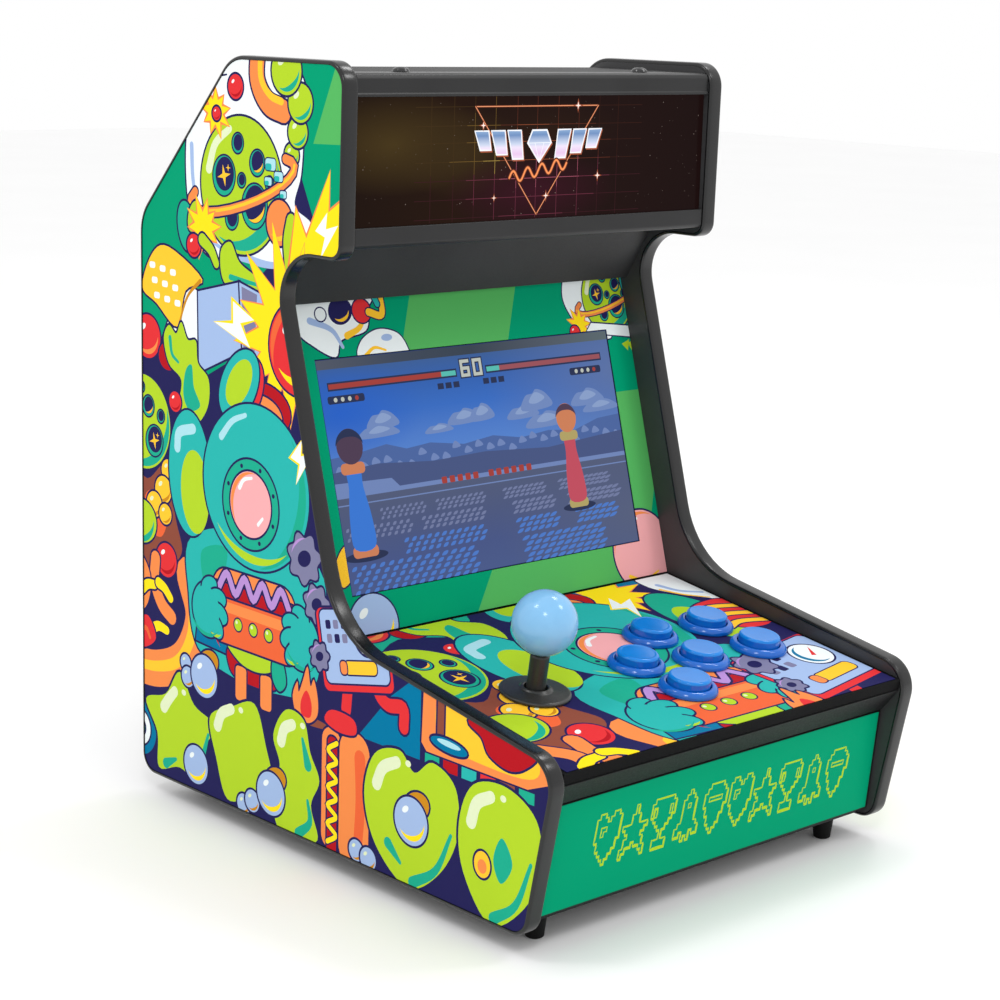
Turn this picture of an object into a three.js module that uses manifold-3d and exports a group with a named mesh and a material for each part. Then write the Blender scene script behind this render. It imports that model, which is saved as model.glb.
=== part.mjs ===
// Bartop arcade cabinet, in millimetres: X to the right, Y to the back, Z up.
// The origin is on the floor, under the middle of the cabinet.
// Heights and depths inside the cabinet are given as (f, h): f forward from the side panels' back edge,
// h up from their bottom edge.
import * as THREE from "three";
import { mergeVertices } from "three/addons/utils/BufferGeometryUtils.js";
import Module from "manifold-3d";

const wasm = await Module();
wasm.setup();

// ---- Driving dimensions ----
const WIDTH = 285; // over the T-molding of both side panels
const SIDE_THICKNESS = 10;
const FOOT_HEIGHT = 12; // below the side panels' bottom edge
const BOARD = 6; // thickness of the wooden boards
const THIN_BOARD = 5;
const SHEET = 0.3; // thickness of a printed sheet
const GAP = 0.3; // kept between pieces that touch
const SKIN_GAP = 0.1; // between a board and the sheet stuck on it
const MOLDING_CAP = 2; // T-molding cap, outside the board's edge
const ARC_STEP = THREE.MathUtils.degToRad(15);

// Side panel outline: corners with their fillet radius, clockwise from the bottom rear corner.
const SIDE_CORNERS = [
  { f: 0, h: 0, r: 12 },
  { f: 0, h: 329.7, r: 25 },
  { f: 85.6, h: 421.6, r: 24 },
  { f: 182.1, h: 421.6, r: 14 },
  { f: 180.8, h: 320, r: 9 },
  { f: 124.4, h: 320, r: 24 },
  { f: 180.3, h: 123.1, r: 54 },
  { f: 349.9, h: 94.4, r: 17.5 },
  { f: 331.6, h: 0, r: 12 },
];

const INNER_HALF = WIDTH / 2 - SIDE_THICKNESS; // from the middle to a side panel's inner face
const BOARD_HALF = INNER_HALF - GAP; // half width of the boards between the side panels

const REAR_F = 14; // the rear panel stands in from the side panels' back edge
const REAR_TOP_H = 333.1; // top edge of the rear panel
const TOP_H = 415.7; // top surface between the side panels
const TOP_REAR_F = 88.6; // back edge of the top panel
const BOTTOM_H = 2; // underside of the bottom panel
const BOTTOM_FRONT_F = 320.8; // front edge of the bottom panel
// The board that slopes from the rear panel up to the top panel: its corners, outer face first.
const REAR_SLOPE = [[REAR_F, 336], [88.3, TOP_H], [90.9, TOP_H - BOARD], [20, 333.7]];
const MARQUEE = { f: 176.7, bottom: 336.9, top: 403.6, panel: 3, cover: 2.6, rail: 160 };
const SOFFIT_H = 326;
const SPEAKER_PANEL = { lowF: 119.7, lowH: 290.4, highF: 140.4, frontF: 172 };
const BEZEL = { f: 164.4, h: 113.1, tilt: 74.3, length: 184.5 };
const SCREEN = { half: 113, low: 22, high: 152.7, lip: 5, depth: 5.5, recess: 0.8 };
const CONTROL = { f: 343.7, h: 88.1, tilt: 8.11, length: 180.3, front: 1.2, overlayHalf: 129.2 };
const KICK = { f: 327.8, h: 6.9, tilt: 95.35, length: 59.6, graphicHalf: 129.8 };
const RAIL = { topF: 344.6, topH: 81.1, lowF: 333.4, lowH: 66.9 };

// Places on the control panel: x, and s back from its front line.
const JOYSTICK = { x: -77, s: 78.4 };
const BUTTONS = [
  { x: 1.3, s: 80.2 },
  { x: 39.7, s: 106.7 },
  { x: 84.6, s: 105.1 },
  { x: 4.3, s: 43.8 },
  { x: 42, s: 69.5 },
  { x: 88.4, s: 67.7 },
];
// Heights over the panel; the barrel ends below it, and the microswitch below that.
const BUTTON = {
  rim: 16.5, rimTop: 4.4, bore: 12.4, barrel: 14.8, barrelEnd: -15, floor: -12, switchHalf: 8, switchEnd: -22,
  plunger: 11.9, plungerEnd: -8.4, top: 9,
};
const STICK = { pivot: -24, ball: 17.5, ballZ: 40, shaft: 3, shaftTop: 34, cover: 5.2, hole: 12, end: -43.5 };
const WASHER = { hole: 6.5, rim: 19.5, edge: 2.4, top: 4.4 };

// Rear fittings: x and h of their middles.
const INLET = { x: 95, h: 40, barrel: 5.5, flange: 7.5, socket: 3, pin: 1 };
const POWER = { x: 62, h: 40, half: 8, halfHeight: 5.2, wall: 1.2, flange: 2.4, tilt: 10 };
const VOLUME = { x: 28, h: 40, knob: 7.5, shaft: 2.4, bush: 3.6, body: 8.5 };

const FEET = { x: 114.5, frontF: 310, rearF: 32 };
const SCREWS = { x: 90, f: 164, shank: 1.9, length: 8 };

// ---- Materials ----
const surface = (color, roughness, metalness = 0) =>
  new THREE.MeshStandardMaterial({ color, roughness, metalness });
const MATERIAL = {
  board: surface(0x2b2b2d, 0.7),
  molding: surface(0x2a2a2c, 0.4),
  graphic: surface(0x00996e, 0.35),
  plastic: surface(0x17171a, 0.45),
  marquee: surface(0x1a0f10, 0.3),
  screen: surface(0x1d2f6f, 0.2),
  blue: surface(0x1e78d2, 0.2),
  ball: surface(0x8cc4ec, 0.2),
  steel: surface(0xb5b8bc, 0.3, 1),
  circuit: surface(0x1d6b3c, 0.5),
  rubber: surface(0x141414, 0.85),
};

// ---- Geometry helpers ----

// The same corners moved inwards by `inset`, with their radii, so that every edge stays parallel.
function insetCorners(corners, inset) {
  const at = (i) => corners[(i + corners.length) % corners.length];
  const direction = (a, b) => new THREE.Vector2(b.f - a.f, b.h - a.h).normalize();
  return corners.map((corner, i) => {
    const arriving = direction(at(i - 1), corner);
    const leaving = direction(corner, at(i + 1));
    const inward = new THREE.Vector2(arriving.y + leaving.y, -arriving.x - leaving.x);
    inward.multiplyScalar(inset / (1 + arriving.dot(leaving)));
    const convex = arriving.cross(leaving) < 0;
    return { f: corner.f + inward.x, h: corner.h + inward.y, r: corner.r + (convex ? -inset : inset) };
  });
}

// Points round an outline whose corners are rounded with arcs.
function roundedPoints(corners) {
  const points = [];
  corners.forEach((corner, i) => {
    const here = new THREE.Vector2(corner.f, corner.h);
    const before = corners[(i + corners.length - 1) % corners.length];
    const after = corners[(i + 1) % corners.length];
    const back = new THREE.Vector2(before.f, before.h).sub(here).normalize();
    const ahead = new THREE.Vector2(after.f, after.h).sub(here).normalize();
    const turn = Math.PI - Math.acos(back.dot(ahead));
    const bisector = back.clone().add(ahead).normalize();
    const centre = here.clone().addScaledVector(bisector, corner.r / Math.cos(turn / 2));
    const start = here.clone().addScaledVector(back, corner.r * Math.tan(turn / 2)).sub(centre);
    const sense = Math.sign(ahead.cross(back));
    const steps = Math.ceil(turn / ARC_STEP);
    for (let k = 0; k <= steps; k++)
      points.push(start.clone().rotateAround(new THREE.Vector2(), (sense * turn * k) / steps).add(centre));
  });
  return points;
}

const sideOutline = (inset) => roundedPoints(insetCorners(SIDE_CORNERS, inset));
const DEPTH = Math.max(...sideOutline(0).map((point) => point.x));
const yOf = (f) => DEPTH / 2 - f;
const zOf = (h) => FOOT_HEIGHT + h;

// Turns a shape drawn in (f, h) and extruded along +Z into the cabinet's frame, from x1 towards -X.
function acrossCabinet(geometry, x1) {
  const matrix = new THREE.Matrix4().makeBasis(
    new THREE.Vector3(0, -1, 0),
    new THREE.Vector3(0, 0, 1),
    new THREE.Vector3(-1, 0, 0),
  );
  return geometry.applyMatrix4(matrix.setPosition(x1, yOf(0), zOf(0)));
}

// A solid with a constant (f, h) section between x0 and x1; `hole` is an optional inner outline.
function section(points, x0, x1, hole) {
  const shape = new THREE.Shape(points.map((p) => (p.isVector2 ? p : new THREE.Vector2(...p))));
  if (hole) shape.holes.push(new THREE.Path(hole.toReversed()));
  return acrossCabinet(new THREE.ExtrudeGeometry(shape, { depth: x1 - x0, bevelEnabled: false }), x1);
}

// A flat plate in the XY plane from z0 to z1, with holes as paths.
function plate(x0, y0, x1, y1, z0, z1, holes = []) {
  const shape = new THREE.Shape([
    new THREE.Vector2(x0, y0),
    new THREE.Vector2(x1, y0),
    new THREE.Vector2(x1, y1),
    new THREE.Vector2(x0, y1),
  ]);
  shape.holes.push(...holes);
  const solid = new THREE.ExtrudeGeometry(shape, { depth: z1 - z0, bevelEnabled: false, curveSegments: 10 });
  return solid.translate(0, 0, z0);
}

const box = (x0, x1, y0, y1, z0, z1) =>
  new THREE.BoxGeometry(x1 - x0, y1 - y0, z1 - z0).translate((x0 + x1) / 2, (y0 + y1) / 2, (z0 + z1) / 2);

const roundHole = (x, y, r) => new THREE.Path().absarc(x, y, r, 0, 2 * Math.PI, true);

function squareHole(x0, y0, x1, y1) {
  return new THREE.Path([
    new THREE.Vector2(x0, y0),
    new THREE.Vector2(x0, y1),
    new THREE.Vector2(x1, y1),
    new THREE.Vector2(x1, y0),
  ]);
}

// A turned piece about the Z axis from [radius, z] points, listed from the bottom up on the outside.
function turned(profile, segments = 16) {
  const points = profile.map(([radius, z]) => new THREE.Vector2(radius, z));
  return new THREE.LatheGeometry(points, segments).rotateX(Math.PI / 2);
}

const ring = (inner, outer, z0, z1, segments = 24) =>
  turned([[inner, z0], [outer, z0], [outer, z1], [inner, z1], [inner, z0]], segments);

function toManifold(geometry) {
  const bare = geometry.index ? geometry.toNonIndexed() : geometry.clone();
  bare.deleteAttribute("normal");
  bare.deleteAttribute("uv");
  const merged = mergeVertices(bare, 1e-4);
  return new wasm.Manifold(
    new wasm.Mesh({
      numProp: 3,
      vertProperties: merged.getAttribute("position").array,
      triVerts: new Uint32Array(merged.index.array),
    }),
  );
}

function fromManifold(solid) {
  const mesh = solid.getMesh();
  const geometry = new THREE.BufferGeometry();
  geometry.setAttribute("position", new THREE.BufferAttribute(mesh.vertProperties, 3));
  geometry.setIndex(new THREE.BufferAttribute(mesh.triVerts, 1));
  geometry.computeVertexNormals();
  return geometry;
}

const join = (...parts) => fromManifold(parts.map(toManifold).reduce((a, b) => a.add(b)));
const cut = (body, ...tools) =>
  fromManifold(tools.map(toManifold).reduce((a, b) => a.subtract(b), toManifold(body)));

// ---- Scene graph ----
const cabinet = new THREE.Group();

function add(parent, name, geometry, material) {
  const mesh = new THREE.Mesh(geometry, material.clone());
  mesh.name = name;
  parent.add(mesh);
  return mesh;
}

// A group whose X and Y lie in a sloping plane that starts at (f, h); its Z points out of the cabinet.
function slopingPlane({ f, h, tilt }) {
  const group = new THREE.Group();
  group.position.set(0, yOf(f), zOf(h));
  group.rotation.x = THREE.MathUtils.degToRad(tilt);
  cabinet.add(group);
  return group;
}

// ---- Side panels, with T-molding in a groove round the edge and a graphic on the outside ----
function addSide(side, sign) {
  const barb = { width: 1.4, depth: 7.5 };
  const groove = { width: 2, depth: 8.2 };
  const outside = 0.8; // the board's outer face lies this far inside the T-molding's side
  const span = (a, b) => (sign > 0 ? [a, b] : [-b, -a]);
  const middle = INNER_HALF + SIDE_THICKNESS / 2;
  const centred = (width) => span(middle - width / 2, middle + width / 2);
  const boardOuter = INNER_HALF + SIDE_THICKNESS - outside;

  const boardEdge = MOLDING_CAP + SKIN_GAP;
  const board = section(sideOutline(boardEdge), ...span(INNER_HALF, boardOuter));
  const slot = section(sideOutline(0.5), ...centred(groove.width), sideOutline(groove.depth));
  add(cabinet, `side_panel_${side}`, cut(board, slot), MATERIAL.board);

  const cap = section(sideOutline(0), ...centred(SIDE_THICKNESS), sideOutline(MOLDING_CAP));
  const rib = section(sideOutline(MOLDING_CAP / 2), ...centred(barb.width), sideOutline(barb.depth));
  add(cabinet, `t_molding_${side}`, join(cap, rib), MATERIAL.molding);

  const graphicInner = boardOuter + SKIN_GAP;
  const graphic = section(sideOutline(MOLDING_CAP + GAP), ...span(graphicInner, graphicInner + SHEET));
  add(cabinet, `side_graphic_${side}`, graphic, MATERIAL.graphic);
}

// ---- Boards that close the box ----
function addShell() {
  const bottom = [[REAR_F + BOARD + GAP, BOTTOM_H], [BOTTOM_FRONT_F, BOTTOM_H]];
  bottom.push([BOTTOM_FRONT_F, BOTTOM_H + BOARD], [REAR_F + BOARD + GAP, BOTTOM_H + BOARD]);
  add(cabinet, "bottom_panel", section(bottom.reverse(), -BOARD_HALF, BOARD_HALF), MATERIAL.board);

  add(cabinet, "rear_upper_panel", section(REAR_SLOPE, -BOARD_HALF, BOARD_HALF), MATERIAL.board);

  const mitre = REAR_SLOPE[2][0] - REAR_SLOPE[1][0];
  const top = [[TOP_REAR_F, TOP_H], [MARQUEE.rail - GAP, TOP_H]];
  top.push([MARQUEE.rail - GAP, TOP_H - BOARD], [TOP_REAR_F + mitre, TOP_H - BOARD]);
  add(cabinet, "top_panel", section(top, -BOARD_HALF, BOARD_HALF), MATERIAL.board);
}

// The rear panel is drawn in (x, h) and turned so that its outside faces back.
function addRear() {
  const rear = new THREE.Group();
  rear.position.set(0, yOf(REAR_F), zOf(0));
  rear.rotation.x = Math.PI / 2;
  cabinet.add(rear);

  const vent = { count: 9, pitch: 8, width: 44, height: 3, low: 235, columns: [-70, 0, 70] };
  const [cutX, cutH] = [POWER.half + POWER.wall + 0.4, POWER.halfHeight + POWER.wall + 0.4];
  const holes = [
    roundHole(INLET.x, INLET.h, INLET.barrel + GAP),
    roundHole(VOLUME.x, VOLUME.h, VOLUME.bush + 0.4),
    squareHole(POWER.x - cutX, POWER.h - cutH, POWER.x + cutX, POWER.h + cutH),
  ];
  const slots = [];
  for (let row = 0; row < vent.count; row++)
    for (const x of vent.columns) {
      const low = vent.low + row * vent.pitch;
      slots.push(box(x - vent.width / 2, x + vent.width / 2, low, low + vent.height, -1, BOARD + 1));
    }
  const panel = cut(plate(-BOARD_HALF, BOTTOM_H, BOARD_HALF, REAR_TOP_H, 0, BOARD, holes), ...slots);
  add(rear, "rear_panel", panel, MATERIAL.board);

  addInlet(rear);
  addPowerSwitch(rear);
  addVolume(rear);
}

// Each fitting is drawn with +Z going into the cabinet.
function fittingGroup(rear, { x, h }) {
  const group = new THREE.Group();
  group.position.set(x, h, 0);
  rear.add(group);
  return group;
}

function addInlet(rear) {
  const { barrel, flange, socket, pin } = INLET;
  const profile = [[0, 12], [barrel, 12], [barrel, -GAP], [flange, -GAP], [flange, -2.3], [socket, -2.3]];
  profile.push([socket, 8], [pin, 8], [pin, -1], [0, -1]);
  const jack = turned(profile.reverse(), 20);
  add(fittingGroup(rear, INLET), "power_inlet", jack, MATERIAL.plastic);
}

function addPowerSwitch(rear) {
  const group = fittingGroup(rear, POWER);
  const [halfX, halfY] = [POWER.half + POWER.wall, POWER.halfHeight + POWER.wall];
  const pocket = squareHole(-POWER.half, -POWER.halfHeight, POWER.half, POWER.halfHeight);
  const flange = plate(
    -halfX - POWER.flange, -halfY - POWER.flange, halfX + POWER.flange, halfY + POWER.flange,
    -1.8, -GAP, [pocket],
  );
  const body = plate(-halfX, -halfY, halfX, halfY, -1, 16, [pocket]);
  const floor = box(-halfX, halfX, -halfY, halfY, 15, 18);
  add(group, "power_switch_frame", join(flange, body, floor), MATERIAL.plastic);

  // The rocker leans one way at rest; its pin is level with the flange.
  const rocker = new THREE.Group();
  rocker.position.z = 1;
  rocker.rotation.y = THREE.MathUtils.degToRad(POWER.tilt);
  group.add(rocker);
  const half = POWER.half - 0.7;
  const outline = [[-half, -3.4], [0, -2.2], [half, -3.4], [half * 0.8, 2.5], [0, 5], [-half * 0.8, 2.5]];
  const shape = new THREE.Shape(outline.map(([x, z]) => new THREE.Vector2(x, z)));
  const width = 2 * (POWER.halfHeight - 0.4);
  const solid = new THREE.ExtrudeGeometry(shape, { depth: width, bevelEnabled: false });
  add(rocker, "power_switch", solid.translate(0, 0, -width / 2).rotateX(Math.PI / 2), MATERIAL.plastic);
}

function addVolume(rear) {
  const group = fittingGroup(rear, VOLUME);
  const bore = VOLUME.shaft + 0.4;
  const behind = BOARD + GAP;
  const bush = turned([[bore, 14], [bore, -1.4], [VOLUME.bush, -1.4], [VOLUME.bush, 14], [bore, 14]]);
  const body = turned([[bore, behind], [VOLUME.body, behind], [VOLUME.body, 15], [bore, 15], [bore, behind]]);
  add(group, "volume_control", join(bush, body), MATERIAL.steel);

  const knob = turned([[0, -12], [6, -12], [6.8, -11.2], [VOLUME.knob, -2.2], [0, -2.2]], 20);
  const shaft = turned([[0, -3], [VOLUME.shaft, -3], [VOLUME.shaft, 13], [0, 13]], 12);
  const pointer = box(-0.7, 0.7, 2, 7, -12.6, -11);
  const hub = fromManifold(toManifold(knob).add(toManifold(shaft)));
  add(group, "volume_knob", join(hub, pointer), MATERIAL.plastic);
}

// ---- Marquee box ----
function addMarquee() {
  const face = MARQUEE.f;
  const front = face + 0.2;
  const lip = { f: face + 3.4, height: 2 };
  const edge = front + MARQUEE.cover;
  const topRail = [
    [MARQUEE.rail, TOP_H],
    [edge - 3, TOP_H],
    [edge - 0.9, TOP_H - 0.9],
    [edge, TOP_H - 3],
    [edge, MARQUEE.top + lip.height],
    [lip.f, MARQUEE.top + lip.height - 0.6],
    [lip.f, MARQUEE.top],
    [front, MARQUEE.top],
    [front, TOP_H - BOARD],
    [MARQUEE.rail, TOP_H - BOARD],
  ];
  const bar = section(topRail, -BOARD_HALF, BOARD_HALF);
  const hole = SCREWS.shank + GAP;
  const holes = [-SCREWS.x, SCREWS.x].map((x) =>
    turned([[0, -SCREWS.length], [hole, -SCREWS.length], [hole, 2], [0, 2]], 12)
      .translate(x, yOf(SCREWS.f), zOf(TOP_H)),
  );
  add(cabinet, "marquee_top_retainer", cut(bar, ...holes), MATERIAL.molding);

  const lowRail = [
    [front, MARQUEE.bottom],
    [edge, MARQUEE.bottom],
    [edge, SOFFIT_H + 2],
    [edge - 1.5, SOFFIT_H],
    [SPEAKER_PANEL.frontF + GAP, SOFFIT_H],
    [SPEAKER_PANEL.frontF + GAP, SOFFIT_H + THIN_BOARD],
    [front, SOFFIT_H + THIN_BOARD],
  ];
  add(cabinet, "marquee_bottom_retainer", section(lowRail, -BOARD_HALF, BOARD_HALF), MATERIAL.molding);

  const lowest = SOFFIT_H + THIN_BOARD + GAP;
  const highest = TOP_H - BOARD - GAP;
  const back = face - MARQUEE.panel;
  const panel = [[back, lowest], [back, highest], [face, highest], [face, lowest]];
  add(cabinet, "marquee_panel", section(panel, -BOARD_HALF, BOARD_HALF), MATERIAL.marquee);

  addMarqueeLight();
  for (const [name, x] of [["left", -SCREWS.x], ["right", SCREWS.x]]) {
    const { shank, length } = SCREWS;
    const head = [[4.7, 0.2], [4.3, 1.4], [2.6, 2.4], [0, 2.7]];
    const screw = turned([[0, -length], [shank, -length], [shank, 0.2], ...head], 14);
    screw.translate(x, yOf(SCREWS.f), zOf(TOP_H));
    add(cabinet, `marquee_screw_${name}`, screw, MATERIAL.steel);
  }
}

// A strip of light-emitting diodes under the top panel, facing down.
function addMarqueeLight() {
  const z = zOf(TOP_H - BOARD) - GAP;
  const y = yOf(140);
  const chips = [];
  for (let i = 0; i < 8; i++) {
    const x = -105 + i * 30;
    chips.push(box(x - 2.5, x + 2.5, y - 2.5, y + 2.5, z - 3, z - 1.5));
  }
  add(cabinet, "marquee_light", join(box(-120, 120, y - 5, y + 5, z - 1.6, z), ...chips), MATERIAL.circuit);
}

// ---- Slanted panel under the marquee, with the soffit and its speakers ----
function addSpeakers() {
  const lean = Math.atan2(SPEAKER_PANEL.highF - SPEAKER_PANEL.lowF, SOFFIT_H - SPEAKER_PANEL.lowH);
  const back = [-THIN_BOARD * Math.cos(lean), THIN_BOARD * Math.sin(lean)];
  const innerF = (h) => SPEAKER_PANEL.lowF + back[0] + (h - SPEAKER_PANEL.lowH - back[1]) * Math.tan(lean);
  const outline = [
    [SPEAKER_PANEL.lowF, SPEAKER_PANEL.lowH],
    [SPEAKER_PANEL.lowF + back[0], SPEAKER_PANEL.lowH + back[1]],
    [innerF(SOFFIT_H + THIN_BOARD), SOFFIT_H + THIN_BOARD],
    [SPEAKER_PANEL.frontF, SOFFIT_H + THIN_BOARD],
    [SPEAKER_PANEL.frontF, SOFFIT_H],
    [SPEAKER_PANEL.highF, SOFFIT_H],
  ];
  const speaker = { x: 85, f: 156.5, r: 15 };
  const slots = [];
  for (const x of [-speaker.x, speaker.x])
    for (let i = -2; i <= 2; i++) {
      const z = zOf(SOFFIT_H);
      const [left, y] = [x + i * 4.5, yOf(speaker.f)];
      slots.push(box(left - 1, left + 1, y - 9, y + 9, z - 1, z + THIN_BOARD + 1));
    }
  const panel = section(outline, -BOARD_HALF, BOARD_HALF);
  add(cabinet, "speaker_panel", cut(panel, ...slots), MATERIAL.board);

  const profile = [[0, 4], [10, 0.2], [speaker.r, 0.2], [speaker.r, 2], [8, 9], [8, 14], [0, 14]];
  for (const [name, x] of [["left", -speaker.x], ["right", speaker.x]]) {
    const body = turned(profile);
    body.translate(x, yOf(speaker.f), zOf(SOFFIT_H + THIN_BOARD) + GAP);
    add(cabinet, `speaker_${name}`, body, MATERIAL.plastic);
  }
}

// ---- Bezel with the screen ----
function addBezel() {
  const bezel = slopingPlane(BEZEL);
  const opening = () => squareHole(-SCREEN.half, SCREEN.low, SCREEN.half, SCREEN.high);
  const back = -SHEET - SKIN_GAP;
  const board = plate(-BOARD_HALF, 0, BOARD_HALF, BEZEL.length, back - THIN_BOARD, back, [opening()]);
  add(bezel, "bezel_panel", board, MATERIAL.board);
  const graphic = plate(-BOARD_HALF, 0.5, BOARD_HALF, BEZEL.length - 0.5, -SHEET, 0, [opening()]);
  add(bezel, "bezel_graphic", graphic, MATERIAL.graphic);

  const half = SCREEN.half - GAP;
  const behind = back - THIN_BOARD - GAP;
  const face = box(-half, half, SCREEN.low + GAP, SCREEN.high - GAP, behind - 1, -SCREEN.recess);
  const lip = SCREEN.lip;
  const module = box(
    -SCREEN.half - lip, SCREEN.half + lip, SCREEN.low - lip, SCREEN.high + lip, behind - SCREEN.depth, behind,
  );
  add(bezel, "screen_panel", join(face, module), MATERIAL.screen);
}

// ---- Control panel ----
function addControls() {
  const panel = slopingPlane(CONTROL);
  const holes = [
    roundHole(JOYSTICK.x, JOYSTICK.s, STICK.hole),
    ...BUTTONS.map(({ x, s }) => roundHole(x, s, BUTTON.barrel + GAP)),
  ];
  const top = -SHEET - SKIN_GAP;
  const board = plate(-BOARD_HALF, -CONTROL.front, BOARD_HALF, CONTROL.length, top - BOARD, top, holes);
  add(panel, "control_panel", board, MATERIAL.board);
  const half = CONTROL.overlayHalf;
  const overlay = plate(-half, 0, half, CONTROL.length - 2, -SHEET, 0, holes);
  add(panel, "control_panel_overlay", overlay, MATERIAL.graphic);

  BUTTONS.forEach(({ x, s }, i) => addButton(panel, i + 1, x, s));
  addJoystick(panel);
}

function addButton(panel, number, x, s) {
  const group = new THREE.Group();
  group.position.set(x, s, 0);
  panel.add(group);
  const { rim, rimTop, bore, barrel, barrelEnd, floor, switchHalf, switchEnd } = BUTTON;
  const { plunger, plungerEnd, top } = BUTTON;
  // The housing snaps into the board; the narrow end below its floor is the microswitch.
  const body = [
    [0, switchEnd], [switchHalf, switchEnd], [switchHalf, barrelEnd], [barrel, barrelEnd], [barrel, GAP],
  ];
  const collar = [[rim, GAP], [rim, 1.6], [rim - 0.9, 3.1], [rim - 2.4, rimTop - 0.2], [bore + 0.6, rimTop]];
  const well = [[bore, rimTop - 0.6], [bore, floor], [0, floor]];
  add(group, `button_housing_${number}`, turned([...body, ...collar, ...well], 20), MATERIAL.blue);
  const crown = [[plunger, top - 2.2], [plunger - 0.8, top - 0.8], [plunger - 2.4, top - 0.1], [0, top]];
  const cap = turned([[0, plungerEnd], [plunger, plungerEnd], ...crown], 20);
  add(group, `button_plunger_${number}`, cap, MATERIAL.blue);
}

// The joystick hangs under the board: a body with a ball pivot, a shaft, and switches at its lower end.
function addJoystick(panel) {
  const group = new THREE.Group();
  group.position.set(JOYSTICK.x, JOYSTICK.s, 0);
  panel.add(group);
  const { pivot, ball, ballZ, shaft, shaftTop, cover, end } = STICK;
  const underside = -SHEET - SKIN_GAP - BOARD;

  const { hole, rim, edge, top } = WASHER;
  const dome = [
    [rim, edge - 0.8], [rim - 0.9, edge], [hole + 2.1, edge + 0.8], [hole + 1.1, top - 0.2], [hole, top],
  ];
  const washer = turned([[hole, GAP], [rim, GAP], ...dome, [hole, GAP]], 24);
  add(group, "dust_washer_upper", washer, MATERIAL.plastic);
  add(group, "dust_washer_lower", ring(8.6, 16.5, underside - 1.2, underside - GAP), MATERIAL.plastic);

  const plateTop = underside - 1.8;
  const bodyEnd = -32.3;
  const mount = box(-28, 28, -40, 40, plateTop - 1.8, plateTop);
  const posts = [-24, 24].flatMap((x) =>
    [-36, 36].map((y) => box(x - 4, x + 4, y - 4, y + 4, plateTop - 1, underside - GAP)),
  );
  const housing = box(-24, 24, -24, 24, bodyEnd, plateTop - 1);
  const throat = [[0, bodyEnd - 1], [7.9, bodyEnd - 1], [7.9, pivot + 5], [11, pivot + 9], [11, 0], [0, 0]];
  add(group, "joystick_body", cut(join(mount, housing, ...posts), turned(throat, 20)), MATERIAL.plastic);

  const seat = [];
  for (let step = 0; step <= 6; step++) {
    const angle = THREE.MathUtils.degToRad(-42 + 14 * step);
    seat.push([7.5 * Math.cos(angle), pivot + 7.5 * Math.sin(angle)]);
  }
  const reach = 7.5 * Math.sin(THREE.MathUtils.degToRad(42));
  const bushing = [[4.3, pivot - reach], ...seat, [4.3, pivot + reach], [4.3, pivot - reach]];
  add(group, "joystick_pivot", turned(bushing), MATERIAL.plastic);

  const rod = [[0, end], [shaft, end], [shaft, shaftTop], [0, shaftTop]];
  add(group, "joystick_shaft", turned(rod, 12), MATERIAL.steel);
  const fit = shaft + 0.2;
  const sleeve = ring(fit, cover, pivot + 6.5, ballZ - ball + 0.2, 16);
  add(group, "joystick_shaft_cover", sleeve, MATERIAL.plastic);
  const start = Math.asin((cover + 0.6) / ball);
  const bottom = [[fit, ballZ - ball + 0.6], [cover + 0.6, ballZ - ball * Math.cos(start)]];
  const globe = [[0, shaftTop + 0.5], [fit, shaftTop + 0.5], ...bottom];
  for (let step = 1; step <= 11; step++) {
    const angle = start + ((Math.PI - start) * step) / 11;
    globe.push([step === 11 ? 0 : ball * Math.sin(angle), ballZ - ball * Math.cos(angle)]);
  }
  add(group, "joystick_ball", turned(globe, 24), MATERIAL.ball);

  const collar = ring(fit, 5.5, -41.5, -34.6, 16);
  add(group, "joystick_actuator", collar, MATERIAL.plastic);
  add(group, "joystick_spring", springCoil(5, 0.45, -33.6, -30.4, 2), MATERIAL.steel);

  addSwitchBoard(group);
  const gate = plate(-23, -23, 23, 23, -46, -43, [squareHole(-6.6, -6.6, 6.6, 6.6)]);
  const legs = [-20, 20].flatMap((x) => [-20, 20].map((y) => box(x - 2, x + 2, y - 2, y + 2, -43.5, -34.9)));
  add(group, "joystick_gate", join(gate, ...legs), MATERIAL.plastic);
}

// Four microswitches round the shaft, soldered to one board.
function addSwitchBoard(group) {
  const board = plate(-23, -23, 23, 23, -34.6, -32.8, [roundHole(0, 0, 8.6)]);
  const switches = [0, 1, 2, 3].map((i) =>
    box(9.4, 15.4, -6, 6, -41.8, -34).rotateZ((i * Math.PI) / 2),
  );
  add(group, "joystick_switch_board", join(board, ...switches), MATERIAL.circuit);
}

function springCoil(radius, wire, low, high, turns) {
  const steps = 10 * turns;
  const path = [];
  for (let i = 0; i <= steps; i++) {
    const angle = (2 * Math.PI * turns * i) / steps;
    const z = low + ((high - low) * i) / steps;
    path.push(new THREE.Vector3(radius * Math.cos(angle), radius * Math.sin(angle), z));
  }
  const wireShape = new THREE.Shape();
  for (let i = 0; i < 6; i++) {
    const angle = (Math.PI * i) / 3;
    const point = [wire * Math.cos(angle), wire * Math.sin(angle)];
    if (i === 0) wireShape.moveTo(...point);
    else wireShape.lineTo(...point);
  }
  wireShape.closePath();
  const extrudePath = new THREE.CatmullRomCurve3(path);
  return new THREE.ExtrudeGeometry(wireShape, { extrudePath, steps, bevelEnabled: false });
}

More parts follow.
